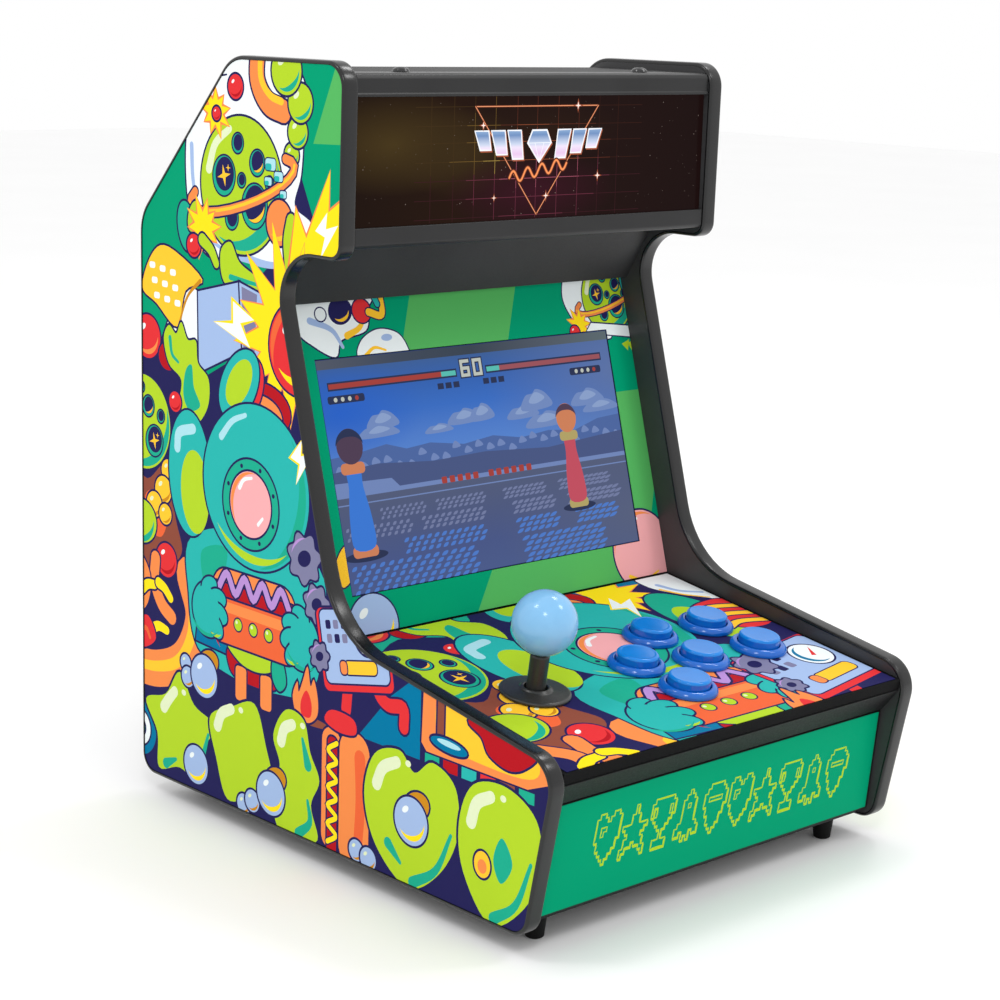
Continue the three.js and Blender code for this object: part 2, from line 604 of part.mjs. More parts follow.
// ---- Front rail and kick panel ----
function addFront() {
  const { topF, topH, lowF, lowH } = RAIL;
  const slope = new THREE.Vector2(topF - lowF, topH - lowH).normalize();
  const inner = [lowF - THIN_BOARD * slope.y, lowH + THIN_BOARD * slope.x];
  const topInner = topF - 5.7;
  const rise = Math.tan(THREE.MathUtils.degToRad(CONTROL.tilt));
  const rail = [[lowF, lowH], inner, [topInner, topH + (topF - topInner) * rise], [topF, topH]];
  add(cabinet, "front_rail", section(rail, -BOARD_HALF, BOARD_HALF), MATERIAL.board);

  const kick = slopingPlane(KICK);
  const face = -SHEET - SKIN_GAP;
  const board = plate(-BOARD_HALF, 0, BOARD_HALF, KICK.length, face - BOARD, face);
  add(kick, "kick_panel", board, MATERIAL.board);
  const half = KICK.graphicHalf;
  add(kick, "kick_graphic", plate(-half, 1, half, KICK.length - 0.4, -SHEET, 0), MATERIAL.graphic);
}

// ---- Feet and the game board ----
function addFeet() {
  const top = zOf(BOTTOM_H) - GAP;
  const profile = [[0, 6], [2.4, 6], [2.4, 0], [4.2, 0], [4.9, 0.7], [6.4, top - 1], [6.4, top], [0, top]];
  for (const [end, f] of [["front", FEET.frontF], ["rear", FEET.rearF]])
    for (const [side, x] of [["left", -FEET.x], ["right", FEET.x]])
      add(cabinet, `foot_${end}_${side}`, turned(profile).translate(x, yOf(f), 0), MATERIAL.rubber);
}

function addGameBoard() {
  const low = zOf(BOTTOM_H + BOARD) + GAP;
  const y = yOf(120);
  const posts = [-46, 46].flatMap((x) =>
    [-31, 31].map((dy) => box(x - 2.5, x + 2.5, y + dy - 2.5, y + dy + 2.5, low, low + 7)),
  );
  const parts = [
    box(-20, 8, y - 14, y + 14, low + 7, low + 11),
    box(16, 34, y - 20, y - 8, low + 7, low + 10),
    box(-40, -28, y + 8, y + 30, low + 7, low + 18),
    box(20, 44, y + 12, y + 32, low + 7, low + 15),
  ];
  const board = box(-50, 50, y - 35, y + 35, low + 6, low + 7.6);
  add(cabinet, "game_board", join(board, ...posts, ...parts), MATERIAL.circuit);
}

addSide("left", -1);
addSide("right", 1);
addShell();
addRear();
addMarquee();
addSpeakers();
addBezel();
addControls();
addFront();
addFeet();
addGameBoard();

export default cabinet;
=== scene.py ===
"""Looks of the bartop arcade cabinet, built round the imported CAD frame."""

import math
import random

import bmesh
import bpy
from mathutils import Matrix, Vector
from mathutils.geometry import delaunay_2d_cdt


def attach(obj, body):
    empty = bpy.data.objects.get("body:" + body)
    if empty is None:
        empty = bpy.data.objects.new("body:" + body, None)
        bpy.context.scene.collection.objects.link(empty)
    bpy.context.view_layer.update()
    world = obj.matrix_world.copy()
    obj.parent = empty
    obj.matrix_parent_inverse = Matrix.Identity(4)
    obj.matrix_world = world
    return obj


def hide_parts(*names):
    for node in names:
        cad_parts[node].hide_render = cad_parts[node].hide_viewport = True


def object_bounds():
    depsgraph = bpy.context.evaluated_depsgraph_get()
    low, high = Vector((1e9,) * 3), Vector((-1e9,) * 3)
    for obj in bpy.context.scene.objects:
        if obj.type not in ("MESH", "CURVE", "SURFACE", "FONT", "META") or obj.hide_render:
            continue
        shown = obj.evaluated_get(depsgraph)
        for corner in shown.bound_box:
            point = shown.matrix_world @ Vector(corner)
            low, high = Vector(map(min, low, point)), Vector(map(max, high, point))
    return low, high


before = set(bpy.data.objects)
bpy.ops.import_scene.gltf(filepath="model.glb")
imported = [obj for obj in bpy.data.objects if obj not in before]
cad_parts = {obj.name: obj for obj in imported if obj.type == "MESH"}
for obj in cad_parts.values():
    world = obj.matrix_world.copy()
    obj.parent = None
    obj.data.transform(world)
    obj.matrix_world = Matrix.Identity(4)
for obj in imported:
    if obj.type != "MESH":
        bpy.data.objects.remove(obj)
cad_low, cad_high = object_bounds()
MM = 0.001
TINY = 1e-6

# ---------------------------------------------------------------- dimensions, as in the CAD
# The frame is in metres, and so are the first three. The others are in mm, as are all drawings and profiles.
DEPTH = cad_high.y - cad_low.y
HALF_WIDTH = cad_high.x
FOOT = 12 * MM
SIDE_HALF = 5
SIDE_GRAPHIC = {"inset": 2.3, "recess": 0.4}
SHEET = 0.3

# Side panel outline: forward from the back edge, up from the bottom edge, fillet radius.
SIDE_CORNERS = [
    (0, 0, 12), (0, 329.7, 25), (85.6, 421.6, 24), (182.1, 421.6, 14), (180.8, 320, 9),
    (124.4, 320, 24), (180.3, 123.1, 54), (349.9, 94.4, 17.5), (331.6, 0, 12),
]
BEZEL = {"f": 164.4, "h": 113.1, "tilt": 74.3, "length": 184.5, "half": 132.2}
SCREEN = {"half": 113, "low": 22, "high": 152.7}
CONTROL = {"f": 343.7, "h": 88.1, "tilt": 8.11, "length": 178.3, "half": 129.2}
KICK = {"f": 327.8, "h": 6.9, "tilt": 95.35, "low": 1, "high": 59.2, "half": 129.8}
MARQUEE = {"f": 176.7, "low": 331.3, "high": 409.4, "half": 132.2, "thickness": 3}
TOP_H = 415.7
FEET = {"x": 114.5, "front": 310, "rear": 32}
SCREWS = {"x": 90, "f": 164}
REAR = {"face": 14, "screw_x": 122, "screw_rows": (24, 128, 226)}
JOYSTICK = (-77, 78.4)
STICK_HOLE = 12
BUTTONS = [(1.3, 80.2), (39.7, 106.7), (84.6, 105.1), (4.3, 43.8), (42, 69.5), (88.4, 67.7)]
BUTTON_HOLE = 15.1


def y_of(f):
    """Y in metres of a place f mm forward from the back edge."""
    return DEPTH / 2 - f * MM


def z_of(h):
    """Z in metres of a place h mm up from the bottom edge."""
    return FOOT + h * MM


def sloping(f, h, tilt, **_):
    """The matrix of a plane that starts at (f, h) mm and rises to the back by tilt; its Z points outwards."""
    return Matrix.Translation((0, y_of(f), z_of(h))) @ Matrix.Rotation(math.radians(tilt), 4, "X")


PANEL_FRAME = sloping(**CONTROL)


# ---------------------------------------------------------------- materials
def srgb(code):
    """A hex colour as linear RGBA."""
    def linear(c):
        return c / 12.92 if c <= 0.04045 else ((c + 0.055) / 1.055) ** 2.4
    return tuple(linear(int(code[i:i + 2], 16) / 255) for i in (0, 2, 4)) + (1.0,)


def new_material(name):
    material = bpy.data.materials.new(name)
    material.use_nodes = True
    return material, material.node_tree, material.node_tree.nodes["Principled BSDF"]


def noise(tree, scale, detail=3.0, roughness=0.55, stretch=None):
    """A noise texture in object space, with scale in repeats per metre."""
    where = tree.nodes.new("ShaderNodeTexCoord")
    texture = tree.nodes.new("ShaderNodeTexNoise")
    texture.inputs["Scale"].default_value = scale
    texture.inputs["Detail"].default_value = detail
    texture.inputs["Roughness"].default_value = roughness
    source = where.outputs["Object"]
    if stretch:
        mapping = tree.nodes.new("ShaderNodeMapping")
        mapping.inputs["Scale"].default_value = stretch
        tree.links.new(source, mapping.inputs["Vector"])
        source = mapping.outputs["Vector"]
    tree.links.new(source, texture.inputs["Vector"])
    return texture.outputs["Fac"]


def spread(tree, value, low, high, start=0.3, end=0.7):
    """A value that runs from start to end, mapped to run from low to high."""
    ranged = tree.nodes.new("ShaderNodeMapRange")
    for socket, number in (("From Min", start), ("From Max", end), ("To Min", low), ("To Max", high)):
        ranged.inputs[socket].default_value = number
    tree.links.new(value, ranged.inputs["Value"])
    return ranged.outputs["Result"]


def ramp(tree, value, colours, places=None):
    """A colour ramp through hex colours, evenly spaced unless places are given."""
    node = tree.nodes.new("ShaderNodeValToRGB")
    places = places or [i / (len(colours) - 1) for i in range(len(colours))]
    stops = [(place, srgb(colour)) for place, colour in zip(places, colours)]
    elements = node.color_ramp.elements
    for element, stop in ((elements[0], stops[0]), (elements[1], stops[-1])):
        element.position, element.color = stop
    for place, colour in stops[1:-1]:
        elements.new(place).color = colour
    tree.links.new(value, node.inputs["Fac"])
    return node.outputs["Color"]


def bump(tree, shader, height, distance, strength=1.0):
    node = tree.nodes.new("ShaderNodeBump")
    node.inputs["Distance"].default_value = distance
    node.inputs["Strength"].default_value = strength
    tree.links.new(height, node.inputs["Height"])
    tree.links.new(node.outputs["Normal"], shader.inputs["Normal"])


def mottled(name, dark, light, rough, grain, depth, patch=18, metal=0.0, specular=0.5, stretch=None):
    """A surface whose colour drifts between two near tones, with a fine grain in its gloss and height."""
    material, tree, shader = new_material(name)
    drift = noise(tree, patch, 4)
    tree.links.new(ramp(tree, spread(tree, drift, 0, 1), [dark, light]), shader.inputs["Base Color"])
    fine = noise(tree, grain, 5, 0.6, stretch)
    tree.links.new(spread(tree, fine, *rough), shader.inputs["Roughness"])
    shader.inputs["Metallic"].default_value = metal
    shader.inputs["Specular IOR Level"].default_value = specular
    bump(tree, shader, fine, depth, 0.6)
    return material


BOARD = mottled("board_black", "111112", "18181a", (0.46, 0.62), 900, 0.00006, specular=0.3)
BOARD_GREY = mottled("board_grey", "141415", "1c1c1e", (0.4, 0.54), 900, 0.00005, specular=0.16)
BOARD_EDGE = mottled("board_edge", "0a0a0b", "111112", (0.5, 0.64), 900, 0.00005, specular=0.06)
# Black board under the marquee, with a lighter base colour than board_black: painted light on the shaded
# soffit.
BOARD_SOFFIT_PAINTED_LIGHT = mottled("board_soffit_painted_light", "252526", "2f2f30", (0.4, 0.54), 900, 0.00005, specular=0.3)
# Black board of the side panels, with a lighter base colour than board_black: painted light on their shaded
# inner faces.
BOARD_SIDES_PAINTED_LIGHT = mottled("board_sides_painted_light", "343435", "3f3f40", (0.38, 0.52), 900, 0.00005, specular=0.4)
MOLDING = mottled("molding_black", "070708", "0e0e0f", (0.2, 0.28), 1600, 0.00002, patch=30, specular=0.5)
RETAINER = mottled("retainer_black", "151516", "1e1e1f", (0.32, 0.42), 1400, 0.00002, patch=22, specular=0.36)
PLASTIC = mottled("black_plastic", "0f0f11", "171719", (0.2, 0.3), 1500, 0.00002, patch=40, specular=0.4)
# Black plastic of the dust washer and stick cover, with a lighter base colour than black_plastic: painted
# sheen.
STICK_PLASTIC_PAINTED_SHEEN = mottled("stick_plastic_painted_sheen", "2a2a29", "333331", (0.26, 0.36), 1500, 0.00002, patch=40, specular=0.45)
# The lighter blue for the plunger's top face, whose sides take the rim blue: painted light on the top of one
# plastic part.
BLUE_TOP_PAINTED_LIGHT = mottled("button_blue", "0a7ad2", "0e84de", (0.1, 0.15), 500, 0.000004, patch=60, specular=0.35)
BLUE_RIM = mottled("button_blue_rim", "0a5fbe", "0d67c8", (0.1, 0.15), 500, 0.000004, patch=60, specular=0.5)
# A darker blue for the bore inside each housing's rim: painted shade in the groove round the plunger.
BLUE_BORE_PAINTED_SHADE = mottled("button_blue_bore_painted_shade", "0a44a4", "0d4eb0", (0.12, 0.18), 700, 0.00001, patch=60,
                    specular=0.2)
BALL = mottled("ball_blue", "7ab3de", "86bee8", (0.12, 0.17), 400, 0.000004, patch=40, specular=0.45)
STEEL = mottled("steel", "9a9da2", "b4b7bb", (0.24, 0.36), 900, 0.00001, metal=1.0, stretch=(1, 1, 12))
SCREW = mottled("screw_black", "141415", "1f1f21", (0.16, 0.24), 1200, 0.00001, specular=0.6)
RUBBER = mottled("rubber", "0b0b0b", "131313", (0.5, 0.65), 1100, 0.00006, specular=0.12)
CIRCUIT = mottled("circuit", "12552b", "1f7a41", (0.4, 0.55), 600, 0.00005, patch=160)
GLASS_EDGE = mottled("screen_frame", "0b1430", "14204a", (0.12, 0.2), 500, 0.00001, specular=0.3)

INK_CODES = {
    "green": "009a6f", "light_green": "55b25f", "lime": "b0d12c", "navy": "252355", "teal": "2bb2ab",
    "sea": "1fa98b", "yellow": "ffdf1f", "gold": "fdc534", "orange": "f18b4b", "flame": "e9653a",
    "red": "df3438", "crimson": "b31822", "pink": "f3abae", "white": "ecf3f4", "sky": "a0b8e0",
    "deep_teal": "00749e", "grey": "7d7c9d", "lilac": "b58dcf", "brown": "8b4b3b", "cream": "dfeac2",
    "ochre": "c9891f", "cyan": "a9dbe4",
}


def ink(name, code):
    """A printed colour under a satin laminate, whose ripple shows in gloss and height."""
    material, tree, shader = new_material("ink_" + name)
    shader.inputs["Base Color"].default_value = srgb(code)
    fine = noise(tree, 420, 4)
    tree.links.new(spread(tree, fine, 0.42, 0.54), shader.inputs["Roughness"])
    shader.inputs["Specular IOR Level"].default_value = 0.02
    bump(tree, shader, fine, 0.00003, 0.5)
    return material


INKS = {name: ink(name, code) for name, code in INK_CODES.items()}


def glow_ink(name, code):
    """A colour that is lit from behind the smooth front of the marquee or the display."""
    material, tree, shader = new_material(name)
    shader.inputs["Base Color"].default_value = tuple(c * 0.1 for c in srgb(code)[:3]) + (1.0,)
    shader.inputs["Specular IOR Level"].default_value = 0.02
    shader.inputs["Emission Color"].default_value = srgb(code)
    shader.inputs["Emission Strength"].default_value = 1.0
    fine = noise(tree, 260, 3)
    tree.links.new(spread(tree, fine, 0.16, 0.21), shader.inputs["Roughness"])
    bump(tree, shader, fine, 0.00001, 0.4)
    return material


def glow_inks(prefix, codes):
    return {name: glow_ink(f"{prefix}_{name}", code) for name, code in codes.items()}


def sheet_place(tree, matrix):
    """The place on a sheet, in the sheet's own metres."""
    where = tree.nodes.new("ShaderNodeTexCoord")
    local = tree.nodes.new("ShaderNodeMapping")
    inverse = matrix.inverted()
    local.inputs["Rotation"].default_value = inverse.to_euler()
    local.inputs["Location"].default_value = inverse.to_translation()
    tree.links.new(where.outputs["Object"], local.inputs["Vector"])
    return local.outputs["Vector"]


def glow_ramp(name, matrix, axis, low, high, colours, places=None, spots=()):
    """A glow ink that runs through tones along an axis of a sheet, in mm, with soft spots of other tones."""
    material = glow_ink(name, colours[0])
    tree = material.node_tree
    local = sheet_place(tree, matrix)
    parts = tree.nodes.new("ShaderNodeSeparateXYZ")
    tree.links.new(local, parts.inputs["Vector"])
    along = spread(tree, parts.outputs[axis], 0, 1, low * MM, high * MM)
    colour = ramp(tree, along, colours, places)
    for x, y, across, up, tone in spots:
        scaled = tree.nodes.new("ShaderNodeMapping")
        scaled.inputs["Scale"].default_value = (1 / (across * MM), 1 / (up * MM), 0)
        scaled.inputs["Location"].default_value = (-x / across, -y / up, 0)
        tree.links.new(local, scaled.inputs["Vector"])
        soft = tree.nodes.new("ShaderNodeTexGradient")
        soft.gradient_type = "SPHERICAL"
        tree.links.new(scaled.outputs["Vector"], soft.inputs["Vector"])
        mixed = tree.nodes.new("ShaderNodeMix")
        mixed.data_type = "RGBA"
        tree.links.new(soft.outputs["Fac"], mixed.inputs["Factor"])
        tree.links.new(colour, mixed.inputs["A"])
        mixed.inputs["B"].default_value = srgb(tone)
        colour = mixed.outputs["Result"]
    tree.links.new(colour, tree.nodes["Principled BSDF"].inputs["Emission Color"])
    return material


# ---------------------------------------------------------------- plane geometry
def rotated(x, y, angle):
    return x * math.cos(angle) - y * math.sin(angle), x * math.sin(angle) + y * math.cos(angle)


def placed(points, x, y, scale=1.0, tilt=0):
    """Points turned by tilt degrees, scaled and moved to (x, y)."""
    turn = math.radians(tilt)
    return [(x + scale * a, y + scale * b) for a, b in (rotated(*point, turn) for point in points)]


def polar(x, y, r, degrees):
    a = math.radians(degrees)
    return x + r * math.cos(a), y + r * math.sin(a)


def ring(points, matrix, segments):
    """Places in metres round the Z axis of a matrix, for profile points (r, z) in mm."""
    return [matrix @ (Vector((p.x * math.cos(a), p.x * math.sin(a), p.y)) * MM)
            for p in points for a in (2 * math.pi * k / segments for k in range(segments))]


# ---------------------------------------------------------------- mesh helpers
def finish_piece(obj, body, slot, *nodes):
    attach(obj, body)
    if nodes:
        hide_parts(*nodes)
    return obj


def object_from(name, verts, faces, materials, indices=None):
    mesh = bpy.data.meshes.new(name)
    mesh.from_pydata([tuple(v) for v in verts], [], faces)
    for material in materials:
        mesh.materials.append(material)
    if indices:
        mesh.polygons.foreach_set("material_index", indices)
    mesh.polygons.foreach_set("use_smooth", [True] * len(mesh.polygons))
    obj = bpy.data.objects.new(name, mesh)
    bpy.context.scene.collection.objects.link(obj)
    return obj


def sharpen(obj, angle=35):
    obj.data.set_sharp_from_angle(angle=math.radians(angle))


def apply_modifier(obj, kind, **settings):
    bpy.context.view_layer.objects.active = obj
    modifier = obj.modifiers.new(kind.lower(), kind)
    for key, value in settings.items():
        setattr(modifier, key, value)
    bpy.ops.object.modifier_apply(modifier=modifier.name)


def refined(node, material, body="cabinet", width=0.0005, slot="board_black", angle=28):
    """A CAD node again, with its flat faces whole and its sharp edges rounded over."""
    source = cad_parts[node]
    obj = object_from(node + "_fine", [], [], [material])
    bm = bmesh.new()
    bm.from_mesh(source.data)
    bmesh.ops.remove_doubles(bm, verts=bm.verts, dist=TINY)
    bmesh.ops.dissolve_limit(bm, angle_limit=math.radians(0.6), verts=bm.verts, edges=bm.edges)
    edges = [e for e in bm.edges if len(e.link_faces) == 2 and e.calc_face_angle(0) > math.radians(angle)]
    bmesh.ops.bevel(bm, geom=edges, offset=width, offset_type="OFFSET", segments=2, profile=0.5,
                    affect="EDGES", clamp_overlap=True)
    for face in bm.faces:
        face.smooth = True
        face.material_index = 0
    bm.to_mesh(obj.data)
    bm.free()
    sharpen(obj, 50)
    apply_modifier(obj, "WEIGHTED_NORMAL", keep_sharp=True)
    return finish_piece(obj, body, slot, node)


def fillet(points, steps=4):
    """An open outline that is rounded at each inner point that adds a radius to its two coordinates."""
    out = []
    for i, point in enumerate(points):
        radius = point[2] if len(point) > 2 else 0
        here = Vector(point[:2])
        if not radius or i in (0, len(points) - 1):
            out.append(here)
            continue
        back = Vector(points[i - 1][:2]) - here
        ahead = Vector(points[i + 1][:2]) - here
        half = back.angle(ahead) / 2
        reach = min(radius / math.tan(half), back.length * 0.49, ahead.length * 0.49)
        radius = reach * math.tan(half)
        centre = here + (back.normalized() + ahead.normalized()).normalized() * (radius / math.sin(half))
        start = here + back.normalized() * reach - centre
        end = here + ahead.normalized() * reach - centre
        turn = math.atan2(start.cross(end), start.dot(end))
        for k in range(steps + 1):
            out.append(centre + Vector(rotated(start.x, start.y, turn * k / steps)))
    return out


def turned(name, profile, matrix, materials, segments=64, bands=None):
    """A turned piece from a profile in mm that starts and ends on the axis; bands pick a material by r, z."""
    points = fillet(profile)
    verts, rings = [], []
    for point in points:
        count = 1 if abs(point.x) < TINY else segments
        rings.append(range(len(verts), len(verts) + count))
        verts += ring([point], matrix, count)
    faces, indices = [], []
    for j in range(len(rings) - 1):
        low, high = rings[j], rings[j + 1]
        middle = (points[j] + points[j + 1]) / 2
        index = bands(middle.x, middle.y) if bands else 0
        for k in range(segments):
            n = (k + 1) % segments
            if len(low) == 1 and len(high) == 1:
                continue
            if len(low) == 1:
                faces.append((low[0], high[n], high[k]))
            elif len(high) == 1:
                faces.append((low[k], low[n], high[0]))
            else:
                faces.append((low[k], low[n], high[n], high[k]))
            indices.append(index)
    obj = object_from(name, verts, faces, materials, indices=indices)
    sharpen(obj)
    return obj


def closed_grid(rows, columns):
    """Quads over a grid of points that closes on itself both ways."""
    return [(j * columns + k, j * columns + n, m * columns + n, m * columns + k)
            for j in range(rows) for m in [(j + 1) % rows]
            for k in range(columns) for n in [(k + 1) % columns]]


def turned_ring(name, profile, matrix, material, segments=64):
    """A turned piece with a hole through it: the profile's ends are joined up the bore."""
    points = fillet(profile)
    obj = object_from(name, ring(points, matrix, segments), closed_grid(len(points), segments), [material])
    sharpen(obj)
    return obj


# ---------------------------------------------------------------- outlines of the side panels
def side_outline(inset, step=6):
    """Points in mm round the side panel's outline, moved inwards by inset; the count is always the same."""
    count = len(SIDE_CORNERS)
    points = []
    for i, (f, h, r) in enumerate(SIDE_CORNERS):
        here = Vector((f, h))
        before = Vector(SIDE_CORNERS[i - 1][:2])
        after = Vector(SIDE_CORNERS[(i + 1) % count][:2])
        arriving, leaving = (here - before).normalized(), (after - here).normalized()
        convex = arriving.cross(leaving) < 0
        turn = arriving.angle(leaving)
        inward = Vector((arriving.y + leaving.y, -arriving.x - leaving.x))
        inward *= 1 / (1 + arriving.dot(leaving))
        reach = r * math.tan(turn / 2)
        centre = here + inward * (r if convex else -r)
        start = here - arriving * reach - centre
        steps = max(2, math.ceil(math.degrees(turn) / step))
        grow = 1 - inset / r if convex else 1 + inset / r
        for k in range(steps + 1):
            a = (-1 if convex else 1) * turn * k / steps
            points.append(centre + Vector(rotated(start.x, start.y, a)) * grow)
    return points


def t_molding(side, sign):
    """The T-molding round a side panel: a crowned cap with round shoulders, and its barb in the groove."""
    cap, shoulder, shoulder_depth, crown = 2.0, 1.5, 0.12, [(0.05, -1.8), (0.02, 0.0)]
    barb_half, barb_end = 0.7, 7.5
    section = [(cap, -SIDE_HALF), (shoulder, -SIDE_HALF)]
    for k in range(1, 6):
        a = math.radians(90 * k / 5)
        section.append((shoulder_depth + shoulder * (1 - math.sin(a)),
                        -SIDE_HALF + shoulder * (1 - math.cos(a))))
    section += crown
    section += [(u, -x) for u, x in reversed(section[:-1])]
    section += [(cap, barb_half), (barb_end, barb_half), (barb_end, -barb_half), (cap, -barb_half)]
    middle = (HALF_WIDTH / MM - SIDE_HALF) * sign
    loops = [[(middle + x, p) for p in side_outline(u)] for u, x in section]
    verts = [Vector((x * MM, y_of(p.x), z_of(p.y))) for loop in loops for x, p in loop]
    obj = object_from(f"t_molding_{side}_fine", verts, closed_grid(len(loops), len(loops[0])), [MOLDING])
    sharpen(obj, 50)
    finish_piece(obj, "cabinet", "molding_black", f"t_molding_{side}")


# ---------------------------------------------------------------- flat drawing
def rectangle(x0, y0, x1, y1):
    return [(x0, y0), (x1, y0), (x1, y1), (x0, y1)]


def ellipse(x, y, rx, ry=None, tilt=0, count=40):
    ry = rx if ry is None else ry
    angles = [2 * math.pi * k / count for k in range(count)]
    return placed([(rx * math.cos(a), ry * math.sin(a)) for a in angles], x, y, tilt=tilt)


def span(four, steps):
    """Places along the smooth curve through four points, between the middle two."""
    p0, p1, p2, p3 = (Vector(p) for p in four)
    return [tuple(0.5 * (2 * p1 + (p2 - p0) * t + (2 * p0 - 5 * p1 + 4 * p2 - p3) * t * t
                         + (3 * p1 - p0 - 3 * p2 + p3) * t ** 3))
            for t in (k / steps for k in range(steps))]


def blob(points, steps=6):
    """A smooth closed curve through the points."""
    n = len(points)
    return [p for i in range(n) for p in span([points[(i + k) % n] for k in (-1, 0, 1, 2)], steps)]


def smooth_path(points, steps=6):
    """A smooth open curve through the points."""
    first, last = (2 * Vector(end) - Vector(inner) for end, inner in (points[:2], points[:-3:-1]))
    ends = [first, *points, last]
    return [p for i in range(len(points) - 1) for p in span(ends[i:i + 4], steps)] + [points[-1]]


def stroke(points, width, smooth=True, taper=1.0):
    """A band along a path, with round ends; taper is the far end's share of the width."""
    path = [Vector(p) for p in (smooth_path(points) if smooth else points)]
    left, right = [], []
    last = len(path) - 1
    for i, p in enumerate(path):
        before = (p - path[max(i - 1, 0)]).normalized() if i else (path[1] - p).normalized()
        after = (path[min(i + 1, last)] - p).normalized() if i < last else before
        normal = Vector((-(before.y + after.y), before.x + after.x))
        reach = width / 2 * (1 + (taper - 1) * i / last) / max(0.35, normal.length / 2)
        normal.normalize()
        left.append(p + normal * reach)
        right.append(p - normal * reach)

    def cap(centre, start, turns=6):
        arm = start - centre
        return [centre + Vector(rotated(arm.x, arm.y, -math.pi * k / turns)) for k in range(1, turns)]
    points = left + cap(path[-1], left[-1]) + right[::-1] + cap(path[0], right[0])
    return [tuple(p) for p in points]


def star(x, y, outer, inner, spikes, phase=0, uneven=0.0):
    """A star whose spikes vary in length by up to the uneven share."""
    reach = [inner if k % 2 else outer * (1 + uneven * math.sin(2.4 * k)) for k in range(2 * spikes)]
    return [polar(x, y, r, phase + 180 * k / spikes) for k, r in enumerate(reach)]


def crescent(x, y, r, middle, sweep=150, depth=0.35, steps=18):
    """The part of a disc along its rim, from one side of the middle direction to the other."""
    shares = [k / steps - 0.5 for k in range(steps + 1)]
    rim = [polar(x, y, r, middle + sweep * share) for share in shares]
    return rim + [polar(x, y, r * (1 - depth * math.cos(math.pi * share)), middle + sweep * share)
                  for share in shares[:0:-1]]


def sparkle(x, y, r, tilt=0):
    return star(x, y, r, r * 0.28, 4, tilt)


def rounded_box(x0, y0, x1, y1, r):
    corners = enumerate(((x1 - r, y1 - r), (x0 + r, y1 - r), (x0 + r, y0 + r), (x1 - r, y0 + r)))
    return [polar(*corner, r, 90 * quarter + 15 * k) for quarter, corner in corners for k in range(7)]


def grown(points, by):
    """A closed outline moved outwards by a line's width."""
    corners = [Vector(p) for p in points]
    ahead = corners[1:] + corners[:1]
    side = 1 if sum(a.cross(b) for a, b in zip(corners, ahead)) > 0 else -1
    out = []
    for i, p in enumerate(corners):
        a, b = (p - corners[i - 1]).normalized(), (ahead[i] - p).normalized()
        n = Vector((a.y + b.y, -a.x - b.x)) * side
        scale = min(by / max(0.2, 1 + a.dot(b)), by * 1.6)
        out.append(tuple(p + n * scale))
    return out


class Drawing:
    """Filled shapes in mm, later ones on top, through a move and a scale."""

    def __init__(self, move=(0, 0), scale=1.0, line=1.3):
        self.shapes, self.move, self.scale, self.line = [], move, scale, line

    def fill(self, ink_name, points):
        self.shapes.append((ink_name, placed(points, *self.move, self.scale)))

    def shape(self, ink_name, points, line=None):
        """A filled shape with a navy line round it."""
        self.fill("navy", grown(points, line or self.line))
        self.fill(ink_name, points)

    def place(self, part, move, scale, line=None):
        """Draws a part of the artwork, which is a function of a drawing, moved and scaled."""
        piece = Drawing(move, scale, line or self.line / scale)
        part(piece)
        for ink_name, points in piece.shapes:
            self.fill(ink_name, points)


# ---------------------------------------------------------------- motifs of the artwork
def orb(art, x, y, r, base="sky", shade="yellow", cap=None):
    """A ball with a bright crescent below, a highlight above and, where wanted, a cap."""
    if cap:
        art.shape(cap, ellipse(x + r * 0.35, y + r * 0.75, r * 0.75, r * 0.55, 20, 24))
    art.shape(base, ellipse(x, y, r))
    art.fill(shade, crescent(x, y, r * 0.82, -70, 150, 0.28))
    art.fill("white", ellipse(x - r * 0.35, y + r * 0.42, r * 0.22, r * 0.13, 35, 16))


def planet(art, x, y, r, craters, ring_tilt=None):
    """A lime planet with navy craters, a gold glint in the first, and a thin ring across it where wanted."""
    art.shape("lime", ellipse(x, y, r, r * 1.02, 0, 56))
    art.fill("sea", crescent(x, y, r * 0.97, -50, 150, 0.24))
    shoulder = placed([(-0.8, 0.2), (-0.64, 0.58), (-0.28, 0.82)], x, y, r)
    art.fill("cream", stroke(shoulder, r * 0.16, taper=0.7))
    for number, (dx, dy, size) in enumerate(craters):
        cx, cy, cr = x + dx * r, y + dy * r, size * r
        art.shape("sea", ellipse(cx, cy, cr, cr * 1.1, -12, 30), art.line * 0.8)
        art.fill("navy", ellipse(cx + cr * 0.06, cy + cr * 0.1, cr * 0.86, cr * 0.95, -12, 28))
        if number == 0:
            art.fill("gold", sparkle(cx, cy, cr * 0.62, 12))
            art.fill("gold", sparkle(cx + cr * 0.38, cy + cr * 0.45, cr * 0.22))
        elif size > 0.15:
            art.fill("gold", crescent(cx, cy, cr * 0.8, -60, 130, 0.3))
    if ring_tilt:
        angles = [math.radians(150 + 15 * k) for k in range(17)]
        path = placed([(1.34 * math.cos(a), 0.3 * math.sin(a)) for a in angles], x, y, r, ring_tilt)
        art.fill("navy", stroke(path, r * 0.2, smooth=False))
        art.fill("orange", stroke(path, r * 0.14, smooth=False))
        art.fill("gold", stroke([(px, py + r * 0.02) for px, py in path[2:-2]], r * 0.05, smooth=False))


def bead_chain(art, beads, base="lime"):
    for x, y, r in beads:
        art.shape(base, ellipse(x, y, r, count=28))
        art.fill("sea" if base == "lime" else "ochre", crescent(x, y, r * 0.86, -60, 130, 0.3))
        art.fill("cream", ellipse(x - r * 0.35, y + r * 0.4, r * 0.26, r * 0.16, 35, 14))


